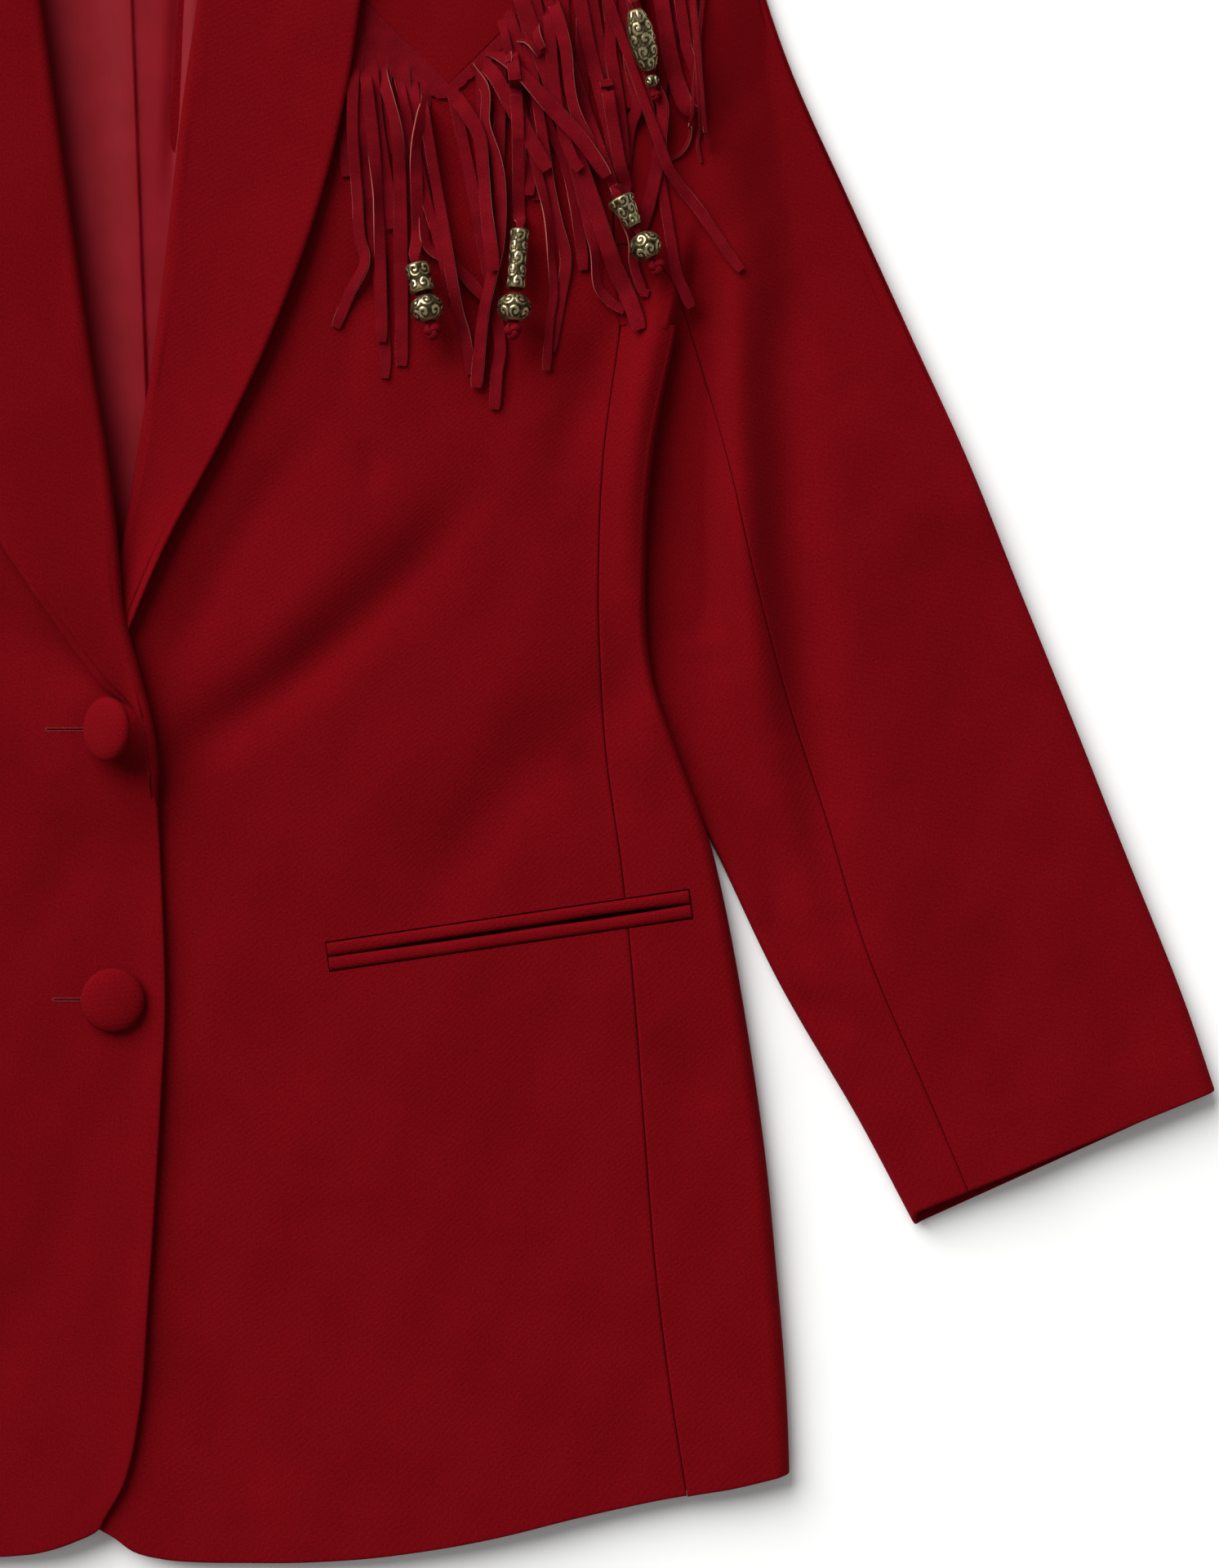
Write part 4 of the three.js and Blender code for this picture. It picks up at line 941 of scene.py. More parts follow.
class BLAZER_OT_back(bpy.types.Operator):
    """The back, one wall across, with its neck curve"""

    bl_idname = "blazer.back"
    bl_label = "Back"

    def execute(self, context):
        u = np.linspace(-1, 1, 81)[None, :]
        v = spread(100, 760)[:, None]
        a = np.abs(u)
        neck = a * SHOULDER_POINT[0]
        drop = BACK_NECK_DROP * np.clip(1 - (neck / NECK_POINT[0]) ** 2, 0, 1)
        high = np.where(neck < NECK_POINT[0], NECK_POINT[1] - drop, shoulder_y(neck))
        seam_hem = at(HEMS["under"], "q", 243.0, "y")
        y = mix(mix(BACK_HEM, seam_hem, a * a), high, v)
        below = at(SIDE, "y", y, "edge") - BACK_SEAM_IN - SEAM
        outer_q = np.where(y < UNDERARM, below, at(BACK_ARMHOLE, "y", y, "q") - SEAM)
        q = a * outer_q
        under = back_underside(q, y)
        bottom, top = (np.stack([np.sign(u) * q, y, z], -1) for z in (under, under + WOOL))
        piece = wall("wool_back", *soften(bottom, top), brushed_wool())
        settle(piece, "red_wool", "back")
        as_sheet(bottom)
        return {"FINISHED"}


class BLAZER_OT_lining(bpy.types.Operator):
    """The back's satin lining, with the pleat down its centre"""

    bl_idname = "blazer.lining"
    bl_label = "Back lining"

    low, high, narrow, wide, at_neck = 372.0, 768.0, 46.0, 60.0, 0.87
    pleat_raise = 1.6
    pleat_run = 16.0
    pleat_from = {"q": 13.9, "y": 473.0, "slope": -0.0377}

    def execute(self, context):
        v = spread(70, 390)[:, None]
        share = np.unique(np.concatenate([np.linspace(-1, 1, 60), np.linspace(0, 0.3, 40)]))
        y = mix(self.low, self.high - 3 * share**2, v)
        half_width = mix(self.narrow, self.wide, ease(0, 0.6, v))
        q = half_width * mix(1, self.at_neck, ease(0.7, 1, v)) * share
        line = self.pleat_from["q"] + self.pleat_from["slope"] * (y - self.pleat_from["y"])
        beyond = q - line
        step = (1 - ease(-0.35, 0.35, beyond)) * ease(-self.pleat_run, 0, beyond)
        waves = 0.35 * np.sin(0.09 * q + 0.02 * y) * np.sin(0.031 * y + 0.5)
        aside = beyond - 13 - 0.09 * (y - 560)
        fold = -2.2 * np.exp(-((aside / 3.2) ** 2)) * ease(540, 590, y)
        z = back_underside(q, y) + WOOL + 0.7 + self.pleat_raise * step + waves + fold + 0.9
        outer, inner = (np.stack([q, y, z - down], -1) for down in (0, 0.5))
        piece = wall("satin_back_lining", *soften(outer, inner, 0.5), satin())
        settle(piece, "satin_lining", "back_lining")
        as_sheet(outer)
        return {"FINISHED"}


YOKE_RISE = 1.3
YOKE_SHARES = {"inner_top": 108.0, "corner": (212.6, 673.0)}


def yoke_grid(half, up):
    """One face of a yoke, up above the front that it lies on."""
    corner_q, corner_y = YOKE_SHARES["corner"]
    point = (YOKE_POINT[0] - YOKE_INNER) / (corner_q - YOKE_INNER)
    u = np.unique(np.append(spread(60, 125), point))[None, :]
    v = spread(64, 135)[:, None]
    low_q = mix(YOKE_INNER, corner_q, u)
    low_y = YOKE_POINT[1] + np.abs(low_q - YOKE_POINT[0])
    high_q = mix(YOKE_SHARES["inner_top"], SHOULDER_POINT[0], u)
    y = mix(low_y, shoulder_y(high_q), v)
    chord = mix(corner_q, SHOULDER_POINT[0], np.clip((y - corner_y) / 69, 0, 1))
    bulge = u**3 * (at(FRONT_ARMHOLE, "y", y, "q") - chord) * (y > corner_y - 1)
    q = mix(low_q, high_q, mix(v**2.2, v, ease(0, 0.4, u))) + bulge
    return np.stack([half["sign"] * q, y, cloth_top(half, q, y) + up], -1)


class BLAZER_OT_yokes(bpy.types.Operator):
    """The pointed yokes, lying on the fronts"""

    bl_idname = "blazer.yokes"
    bl_label = "Yokes"

    def execute(self, context):
        for half in HALVES:
            outer, inner = yoke_grid(half, YOKE_RISE), yoke_grid(half, 0.12)
            piece = wall(f"wool_yoke_{half['name']}", *soften(outer, inner, 0.8), brushed_wool())
            settle(piece, "red_wool", f"yoke_{half['name']}")
            as_sheet(outer)
        return {"FINISHED"}


# ---------------------------------------------------------------- collar
COLLAR["row"] = np.arange(len(COLLAR["roll_y"]), dtype=float)
# Below the break the lapel's roll dies out into the front's edge.
ROLL_END = {"y": 302.0, "top": -18.0, "under": -20.2}
ROLL_SUNK = 2.4
ROLL_PROUD = 0.35  # the roll's top and the fall stand this much above the cloth they lie on
# Low on a lapel the facing's own edge shows as a step beside the edge, between these heights.
FACING = {"top": (345, 372, 396), "under": (379, 379, 430)}
FACING_STEP, FACING_IN = 1.0, (3.7, 4.5)
STAND_STEPS, ROLL_STEPS, FALL_STEPS = 8, 11, 44


def collar_section(half, row):
    """The middle of the collar's cloth in one row: stand, round the roll, and the fall."""
    edge_column = "under_edge" if half["roll"] == "under" else "top_edge"
    names = (half["roll"], "roll_y", edge_column, "edge_y", "lift")
    q, roll_y, edge_q, edge_y, lift = (float(at(COLLAR, "row", row, n)) for n in names)
    dying = float(ease(0, 1, -row))
    roll_y = mix(roll_y, ROLL_END["y"], max(0, -row))
    q = mix(q, ROLL_END[half["roll"]], max(0, -row))
    edge_q, edge_y = mix(edge_q, q + 2.2, dying), mix(edge_y, roll_y + 0.5, max(0, -row))
    roll_top = float(front_top(half, q + 4, roll_y) + front_edge(half, q + 4, roll_y))
    below = WOOL + COLLAR_GAP + COLLAR_WALL
    lowest = STAND_LOWEST * float(ease(660, 720, roll_y))
    low = max(roll_top - below, lowest) + COLLAR_WALL / 2
    high = roll_top + COLLAR_GAP + COLLAR_WALL / 2 - ROLL_SUNK * dying
    radius = (high - low) / 2
    depth = mix(STAND_DEPTH / 2, STAND_DEPTH, float(ease(338, 415, roll_y)))
    stand_end = min(q + depth, NECK_POINT[0] - 7)
    share = np.linspace(1, 0, STAND_STEPS + 1)[:-1]
    stand_q = mix(q + radius, stand_end, share)
    stand_z = np.maximum(front_top(half, stand_q, roll_y) - below, lowest) + COLLAR_WALL / 2
    angle = np.linspace(-math.pi / 2, -1.5 * math.pi, ROLL_STEPS)
    arc_q = q + radius + (radius + COLLAR_WALL / 2) * np.cos(angle)
    arc_z = (low + high) / 2 + radius * np.sin(angle)
    share = np.linspace(0, 1, FALL_STEPS + 1)[1:]
    fall_q, fall_y = mix(q + radius, edge_q, share), mix(roll_y, edge_y, share)
    on_yoke = (YOKE_RISE + 0.2) * ease(606, 624, fall_y) * ease(64, 84, fall_q)
    rise = lift * share**2 * (1 + 0.35 * math.exp(-(((edge_y - 510) / 45) ** 2)))
    reach = math.hypot(edge_q - q, edge_y - roll_y)
    inset = reach * (1 - share)
    starts, fades, ends = FACING[half["roll"]]
    facing = ease(starts - 8, starts, edge_y) * (1 - ease(fades, ends, edge_y))
    step = FACING_STEP * facing * (1 - ease(*FACING_IN, inset))
    wave = 0.35 * np.sin(0.07 * fall_y + 0.05 * fall_q + half["sign"]) * ease(6, 30, inset)
    top = cloth_top(half, fall_q, fall_y) + COLLAR_GAP + COLLAR_WALL / 2
    sunk = np.maximum(dying, share * float(1 - ease(1.1, 2.3, row)))
    fall_z = top + on_yoke + rise - step + ROLL_PROUD + wave - (ROLL_SUNK + 0.4) * sunk
    arc_z = arc_z + ROLL_PROUD * (1 - dying) * (arc_z > roll_top)
    return np.concatenate([
        np.stack([stand_q, np.full(STAND_STEPS, roll_y), stand_z], -1),
        np.stack([arc_q, np.full(ROLL_STEPS, roll_y), arc_z], -1),
        np.stack([fall_q, fall_y, fall_z], -1),
    ])


def collar_behind_section(row):
    """The same behind the neck, where the fall passes under the back."""
    roll, edge, stand = (np.array(row[name], float) for name in ("roll", "edge", "stand"))
    points = []
    for share in np.linspace(0, 0.9, STAND_STEPS):
        x, y = mix(stand[:2], roll[:2], share * 0.9)
        points.append((x, y, mix(stand[2], roll[2] + BEHIND_RADIUS, share)))

    def from_roll(end):
        reach = np.hypot(*(end[:2] - roll[:2]))
        return mix(roll[:2], end[:2], BEHIND_RADIUS / reach)

    for share in np.linspace(0, 1, ROLL_STEPS):
        angle = mix(math.pi / 2, -math.pi / 2, share)
        centre = from_roll(stand if share < 0.5 else edge)
        x, y = mix(centre, roll[:2], math.cos(angle))
        points.append((x, y, roll[2] + (BEHIND_RADIUS - 0.75) * math.sin(angle)))
    start = from_roll(edge)
    for share in np.linspace(0, 1, FALL_STEPS + 1)[1:]:
        x, y = mix(start, edge[:2], share)
        z = mix(roll[2] - BEHIND_RADIUS + 0.75, edge[2] + 0.75, float(ease(0, 0.56, share)))
        points.append((x, y, z))
    return np.array(points)


def grid_normals(grid):
    """The way each point of a grid faces."""
    across = np.cross(np.gradient(grid, axis=1), np.gradient(grid, axis=0))
    return across / np.maximum(np.linalg.norm(across, axis=2, keepdims=True), 1e-9)


class BLAZER_OT_collar(bpy.types.Operator):
    """The shawl collar: stand, roll and fall of each half, joined behind the neck"""

    bl_idname = "blazer.collar"
    bl_label = "Collar"

    def execute(self, context):
        last = len(COLLAR["row"]) - 1
        for half in HALVES:
            rows = np.linspace(-1, last, (last + 1) * 11 + 1)
            front = [collar_section(half, row) for row in rows]
            behind = [collar_behind_section(row) for row in COLLAR_BEHIND]
            turned = through([front[-2], front[-1], *behind], 8)[9:]
            middle = np.concatenate([front, turned])
            # The first rows, where the roll dies out, are thinner.
            thick = np.interp(np.arange(len(middle)), (0, 14), (0.25, 1))[:, None, None]
            out = grid_normals(middle) * thick * COLLAR_WALL / 2
            place = np.array((half["sign"], 1, 1))
            outer, inner = (middle + out) * place, (middle - out) * place
            piece = wall(f"wool_collar_{half['name']}", *soften(outer, inner), brushed_wool())
            settle(piece, "red_wool", f"collar_{half['name']}")
            as_sheet(middle)
        return {"FINISHED"}


# ---------------------------------------------------------------- sleeves
SLEEVE_LOWEST = 3.5  # a crease presses a sleeve's top face no lower than this
# Heights between which a sleeve's face rises to the side panel's top, where they are sewn.
JOIN_BEGINS, JOIN_LEVEL, JOIN_SEWN = 491.0, 496.8, 498.8
JOIN_TUCK = 2.3  # how far the face stays under the panel's top, below the seam
JOIN_OUTERMOST = 222.0  # the panel's top is taken from no further out than this


def armhole_point(rows, u):
    """The sleeve's sewn edge: in along the top of the side panel, then up to the shoulder."""
    start = UNDERARM + 2 * SEAM
    corner = float(at(rows, "y", UNDERARM, "q")) + ARMHOLE_GAP
    y = mix(start, SHOULDER_POINT[1], (u - ALONG_UNDERARM) / (1 - ALONG_UNDERARM))
    along = mix(RINGS["inner_q"][-1], corner, u / ALONG_UNDERARM)
    under = u < ALONG_UNDERARM
    return (np.where(under, along, at(rows, "y", y, "q") + ARMHOLE_GAP),
            np.where(under, start, y))


def sleeve_ring(half, i, part):
    """One ring of a sleeve panel: outer and inner points, all as (q, y, z)."""
    ring = {name: float(at(RINGS, "i", i, name)) for name in RINGS}
    width = math.hypot(ring["outer_q"] - ring["inner_q"], ring["outer_y"] - ring["inner_y"])

    def top(a):
        free = mix(ring["thin"], ring["tall"], ease(ring["flat"], ring["flat"] + TAPER, a))
        sewn = cloth_top(half, *armhole_point(FRONT_ARMHOLE, a / width))
        return mix(free, mix(ring["thin"], sewn, ease(0.2, 0.42, a / width)), ring["curve"])

    under = part == "under"
    seam_top = ring["seam"] * width + (-SEAM / 2 if under else SEAM / 2)
    seam_under = (1 - HIND_SEAM) * width + (-SEAM / 2 if under else SEAM / 2)
    radius = ring["thin"] / 2 if under else float(top(width)) / 2
    middle = radius if under else width - radius
    side = -1 if under else 1
    flat = mix(seam_under, middle, spread(12 if under else 5, 60)[:-1])
    angle = np.linspace(-math.pi / 2, math.pi / 2, 17)
    face = mix(middle, seam_top, spread(34 if under else 42, 90)[1:])
    a = np.concatenate([flat, middle + side * radius * np.cos(angle), face])
    z = np.concatenate([np.zeros(len(flat)), radius + radius * np.sin(angle), top(face)])
    lean = np.concatenate([flat * 0, side * np.cos(angle), face * 0])
    rise = np.concatenate([flat * 0 - 1, np.sin(angle), face * 0 + 1])

    def place(a, z):
        u = a / width
        upper = ease(0, ring["thin"], z)
        spots = []
        for k, name in enumerate(("q", "y")):
            chord = mix(ring["inner_" + name], ring["outer_" + name], u)
            ends = mix(RINGS["inner_" + name][-1], RINGS["outer_" + name][-1], u)
            arm = [armhole_point(rows, np.clip(u, 0, 1))[k]
                   for rows in (BACK_ARMHOLE, FRONT_ARMHOLE)]
            spots.append(chord + ring["curve"] * (mix(*arm, upper) - ends))
        below = max(0, 1 - i) * (1 - ease(0.3, 0.9, z / ring["tall"])) * (1 - u)
        return spots[0] + CUFF_SLIP[0] * below, spots[1] + CUFF_SLIP[1] * below

    q, y = place(a, z)
    # The body's side fold runs on into the sleeve above the underarm, and dies out there.
    fold = at(SIDE, "y", y, "edge") + 0.2 * np.maximum(0, y - UNDERARM)
    bare = ease(0, 12, q - fold + 24 * ease(UNDERARM + 5, UNDERARM + 50, y))
    bare = bare * (1 - ease(LAST_RING - 0.8, LAST_RING, i)) * np.clip(rise, 0, 1)
    depth = bpy.context.scene.blazer_cloth.crease_depth
    rows = SLEEVE_CREASES[half["name"]]
    moved = bare * (creased(rows, q, y, depth) + drift(q * half["sign"], y))
    moved = np.maximum(moved, np.minimum(0, SLEEVE_LOWEST - z))
    tucked = JOIN_TUCK * (1 - ease(JOIN_LEVEL, JOIN_SEWN, y))
    level = cloth_top(half, np.minimum(q, JOIN_OUTERMOST), y) - 0.06 - tucked
    joining = ease(JOIN_BEGINS, JOIN_LEVEL, y) * (1 - ease(fold - 5, fold + 3, q))
    joining = joining * (1 - ease(UNDERARM + 50, UNDERARM + 110, y))
    moved = moved + joining * np.clip(rise, 0, 1) * np.maximum(level - z - moved, 0)
    outer = np.stack([q, y, z + moved], -1)
    inner_a, inner_z = a - lean * SLEEVE_WALL, z - rise * SLEEVE_WALL
    q, y = place(inner_a, inner_z)
    return outer, np.stack([q, y, inner_z + moved], -1)


class BLAZER_OT_sleeves(bpy.types.Operator):
    """The two-piece sleeves, open at the cuffs"""

    bl_idname = "blazer.sleeves"
    bl_label = "Sleeves"

    def execute(self, context):
        close = np.array([0.004, 0.01, 0.018, 0.03])
        rows = np.unique(np.concatenate([np.linspace(0, LAST_RING, 166), close]))
        radius = mix(1.1, 0.1, ease(6.2, 8, rows))[:, None]
        for half in HALVES:
            place = np.array((half["sign"], 1, 1))
            for part in ("upper", "under"):
                rings = [sleeve_ring(half, i, part) for i in rows]
                outer, inner = (np.stack(side) * place for side in zip(*rings))
                name = f"{part}_sleeve_{half['name']}"
                walls = soften(outer, inner, radius, last_row=False)
                piece = wall(f"wool_{name}", *walls, brushed_wool())
                settle(piece, "red_wool", name)
                as_sheet(outer)
        return {"FINISHED"}


# ---------------------------------------------------------------- pockets
# How far the welts stand apart along the pocket, from its inner to its outer end.
POCKET_MOUTH = table(
    "share gap", (0, 0.2), (0.1, 0.4), (0.25, 1.1), (0.45, 1.3), (0.6, 1.1), (0.72, 1.6),
    (0.87, 1.3), (0.94, 0.8), (1, 0.3),
)


class BLAZER_OT_pockets(bpy.types.Operator):
    """The welts of both pockets: folded strips of cloth that fill the window"""

    bl_idname = "blazer.pockets"
    bl_label = "Pocket welts"

    bulge = 1.7
    sunk = 0.95

    def execute(self, context):
        share = spread(90, 148)[None, :]
        across = np.linspace(0, 1, 15)[:, None]
        for half in HALVES:
            for name, side in (("upper", 1), ("lower", -1)):
                gap = at(POCKET_MOUTH, "share", share, "gap") / 2
                t = side * mix(gap, POCKET_SLIT / 2 + WELT_WIDTH, across)
                q, y = pocket_point(mix(-POCKET_HALF_LENGTH, POCKET_HALF_LENGTH, share), t)
                crown = np.sqrt(1 - np.abs(2 * across - 1) ** 2.4) * self.bulge - self.sunk
                z = cloth_top(half, q, y) + crown
                outer, inner = (np.stack([half["sign"] * q, y, z - d], -1) for d in (0, 1.1))
                piece = wall(f"wool_{name}_welt_{half['name']}", *soften(outer, inner, 0.7),
                             brushed_wool())
                settle(piece, "red_wool", f"{name}_welt_{half['name']}")
        return {"FINISHED"}


# ---------------------------------------------------------------- fringe
# The strips are laid out on a fine grid, u out and v down from this corner of the yoke.
FRINGE_GRID = {"q": 80.5, "y": 632.0, "pitch": 0.10945}
# The suede that the strips of one half are cut from, in metres.
FRINGE_CUT = {"width": 0.19, "shortest": 0.17, "gaps": 1.02}
# How far the header shows below the yoke's edge.
HEADER = table(
    "q depth", (88, 24), (95, 27), (102, 27), (113, 20), (124, 11.5), (131, 11), (136.6, 5),
    (145, 6.5), (170, 7.5), (200, 7), (212, 6), (226, 5),
)
# Each strip: its width, then its points (u, v) or (u, v, roll) from the yoke to its tip.
# A positive roll raises the edge that lies further out. The lowest strips come first.
STRIPS = (
    (55, (222, 200), (245, 420), (265, 560), (285, 700), (300, 850)),
    (48, (240, 900), (262, 1100), (280, 1300), (275, 1400)),
    (50, (560, 500), (640, 900), (700, 1250), (690, 1380), (682, 1515)),
    (50, (1400, 0), (1350, 70), (1330, 160), (1300, 320)),
    (45, (1300, 30), (1320, 150), (1300, 300), (1290, 420)),
    (50, (1165, 100), (1185, 260), (1210, 390, 20), (1180, 480), (1165, 600), (1150, 740)),
    (50, (1110, 60), (1110, 200), (1130, 330, -20), (1145, 450), (1160, 620)),
    (55, (1000, 30), (1035, 200), (1080, 380, 15), (1115, 520), (1130, 660)),
    (42, (1310, 760), (1350, 1000), (1380, 1080), (1408, 1138)),
    (45, (860, 420), (940, 600), (975, 750, -25), (1000, 900), (1010, 1000)),
    (40, (1000, 560), (1030, 680, -20), (1035, 800), (1040, 880)),
    (45, (165, 250), (160, 460), (170, 640), (178, 740, 20), (185, 880), (205, 975, 35),
     (150, 1080, 15), (120, 1150), (95, 1212)),
    (48, (210, 300), (235, 520), (250, 700, -40), (255, 800, -35), (262, 1000), (266, 1268)),
    (55, (262, 240), (270, 290, 35), (322, 480, 40), (333, 640), (335, 800), (340, 1355)),
    (45, (400, 480), (425, 700), (430, 905, -40), (530, 980, -25), (640, 1100)),
    (40, (380, 520), (430, 740), (470, 880), (500, 1000, 20), (515, 1100)),
    (45, (470, 700), (540, 1110, 30), (575, 1240, 35), (595, 1385, 10)),
    (50, (590, 250, 45), (648, 340, 50), (650, 470, 40), (690, 600, 40), (705, 720, 35),
     (700, 900, 35), (670, 1040, 30), (640, 1180, 25), (615, 1435, 10)),
    (45, (860, 520), (885, 690, 30), (915, 830, 35), (945, 960, 25), (925, 1100, 10),
     (890, 1300)),
    (36, (830, 600), (875, 790, -35), (890, 950, -40), (900, 1080), (885, 1200), (872, 1370)),
    (60, (610, 190), (670, 270), (745, 400), (820, 540), (880, 640)),
    (40, (1120, 700), (1185, 880, -35), (1195, 980, -20), (1230, 1080), (1250, 1088)),
    (40, (1010, 760), (1050, 930, -30), (1060, 1050, -30), (1100, 1110), (1160, 1150)),
    (45, (880, 40), (892, 200), (905, 330), (930, 480), (970, 600), (1000, 640)),
    (50, (905, 40), (945, 200, 30), (960, 340, 40), (985, 440, 30), (1040, 560)),
    (62, (960, 520), (1000, 620), (1060, 800, 12), (1120, 980, 15), (1175, 1100, 10),
     (1218, 1222)),
    (45, (1405, 0), (1420, 150), (1430, 300)),
    (45, (1380, 120), (1390, 190, 30), (1425, 300, 35), (1440, 420, 20)),
    (65, (1310, 100), (1325, 190), (1350, 300), (1385, 400, 30), (1420, 425, 40)),
    (15, (1410, 400), (1405, 450, 40), (1400, 520, 40), (1370, 570, 30), (1320, 598)),
    (14, (1435, 400), (1440, 470), (1430, 540), (1445, 605)),
    (14, (1450, 420), (1455, 480), (1470, 550)),
    (50, (1235, 200), (1260, 310), (1300, 400, 20), (1295, 500, 15), (1285, 600), (1255, 740),
     (1220, 858)),
    (40, (1280, 520), (1340, 660), (1420, 760, 20), (1490, 860), (1550, 950), (1592, 1004)),
    (55, (516, 335), (570, 410), (625, 510), (640, 620, 25), (655, 800, 30), (680, 1010)),
    (60, (650, 170), (690, 205, -30), (790, 300, -25), (890, 410), (1000, 530, 15),
     (1075, 635, 40), (1098, 668, 45)),
    (34, (690, 160), (700, 170, 30), (735, 205, 50), (735, 250, 30)),
    (34, (740, 140), (750, 150, -40), (800, 165, -50), (835, 205, -40), (850, 220)),
    (34, (830, 60), (835, 85, 40), (840, 150, 45), (860, 200, 20)),
)
THONGS = {
    "a": {"through": ((430, 330), (430, 375, -35), (410, 470, -40), (395, 560, -40), (397, 700),
                      (400, 860)), "at": ((125.4, 518), (128.4, 505.6)), "knot": 9.5},
    "b": {"through": ((740, 150), (760, 330), (770, 500), (772, 780)),
          "at": ((164.7, 525.7), (163.4, 505.8)), "knot": 9.5},
    "c": {"through": ((1040, 0), (1090, 300), (1140, 600), (1165, 700)),
          "at": ((208.6, 544.5), (216, 530.8)), "knot": 9.5},
    "d": {"through": ((1165, -235), (1190, -150), (1210, -60)),
          "at": ((214.6, 613), (218.6, 597.2)), "knot": 6.0},
}
# Strips that start less than this far below the uncut band are laid first.
ROOT_REACH = 9.0
THONG_STEP, THONG_CLEAR = 1.6, 1.1
THONG_IN_BEADS = 4.3  # a thong narrower than this is inside its beads
# Each thong's upper and lower bead: form, radius and half its length.
BEADS = {
    "a": (("tube", 5.1, 5.9), ("round", 6.8, 5.4)),
    "b": (("tube", 3.9, 12.3), ("round", 6.9, 5.6)),
    "c": (("cone", 5.6, 6.4), ("round", 6.6, 5.4)),
    "d": (("spindle", 5.4, 12.4), ("round", 2.7, 2.5)),
}


def fringe_spot(point):
    """A grid place and its roll as distance out, height and roll, which is 0 if not given."""
    u, v, roll = (*point, 0)[:3]
    pitch = FRINGE_GRID["pitch"]
    return FRINGE_GRID["q"] + pitch * u, FRINGE_GRID["y"] - pitch * v, roll


class Pile:
    """Heights of what lies under the fringe, on a 1 mm grid, raised by each strip laid on it."""

    low_q, low_y, wide, tall = 78, 452, 190, 262

    def __init__(self, half, pieces):
        self.half = half
        graph = bpy.context.evaluated_depsgraph_get()
        trees = [BVHTree.FromObject(piece, graph) for piece in pieces]
        self.z = np.zeros((self.wide, self.tall))
        down = Vector((0, 0, -1))
        for i in range(self.wide):
            for j in range(self.tall):
                spot = Vector((half["sign"] * (self.low_q + i) * MM,
                               (self.low_y + j - LENGTH / 2) * MM, 0.1))
                for tree in trees:
                    hit = tree.ray_cast(spot, down)[0]
                    if hit is not None:
                        self.z[i, j] = max(self.z[i, j], hit.z / MM)
        self.ground = self.z.copy()

    def cells(self, q, y):
        """The grid's indices for places."""
        i = np.clip(np.round(q - self.low_q).astype(int), 0, self.wide - 1)
        return i, np.clip(np.round(y - self.low_y).astype(int), 0, self.tall - 1)

    def bare(self, path):
        """The front's own height beside a place, also where the place is under the yoke."""
        q, edge = path[:, 0], YOKE_POINT[1] + np.abs(path[:, 0] - YOKE_POINT[0])
        return self.ground[self.cells(q, np.minimum(path[:, 1], edge - 3.5))]

    def under(self, path, side, width):
        """The highest point under each place of a strip, smoothed along it."""
        across = np.linspace(-0.5, 0.5, 5)[:, None, None] * width[None, :, None]
        spots = path[None] + across * side[None]
        high = self.z[self.cells(spots[..., 0], spots[..., 1])].max(0)
        padded = np.pad(high, 3, mode="edge")
        near = np.max([padded[k : k + len(high)] for k in range(7)], axis=0)
        padded = np.pad(near, 3, mode="edge")
        return np.mean([padded[k : k + len(high)] for k in range(7)], axis=0)

    def lay(self, points):
        """Raises the pile to points of something that has been laid on it."""
        i, j = self.cells(points[:, 0], points[:, 1])
        np.maximum.at(self.z, (i, j), points[:, 2])


def resampled(points, gap):
    """Smooth points about gap apart along a few given ones."""
    fine = through(points, 24)
    run = run_along(fine[:, :2])
    count = max(4, int(run[-1] / gap) + 1)
    wanted = np.linspace(0, run[-1], count)
    return np.stack([np.interp(wanted, run, fine[:, k]) for k in range(fine.shape[1])], -1)


STRIP_BEVEL = 0.22  # how far a strip's faces end inside its cut edges


def ring_faces(rings, size, closed=False):
    """Faces between rings of size points each; closed joins the last ring to the first."""
    faces = []
    for i in range(rings if closed else rings - 1):
        j = (i + 1) % rings
        for k in range(size):
            n = (k + 1) % size
            faces.append((i * size + k, i * size + n, j * size + n, j * size + k))
    return faces


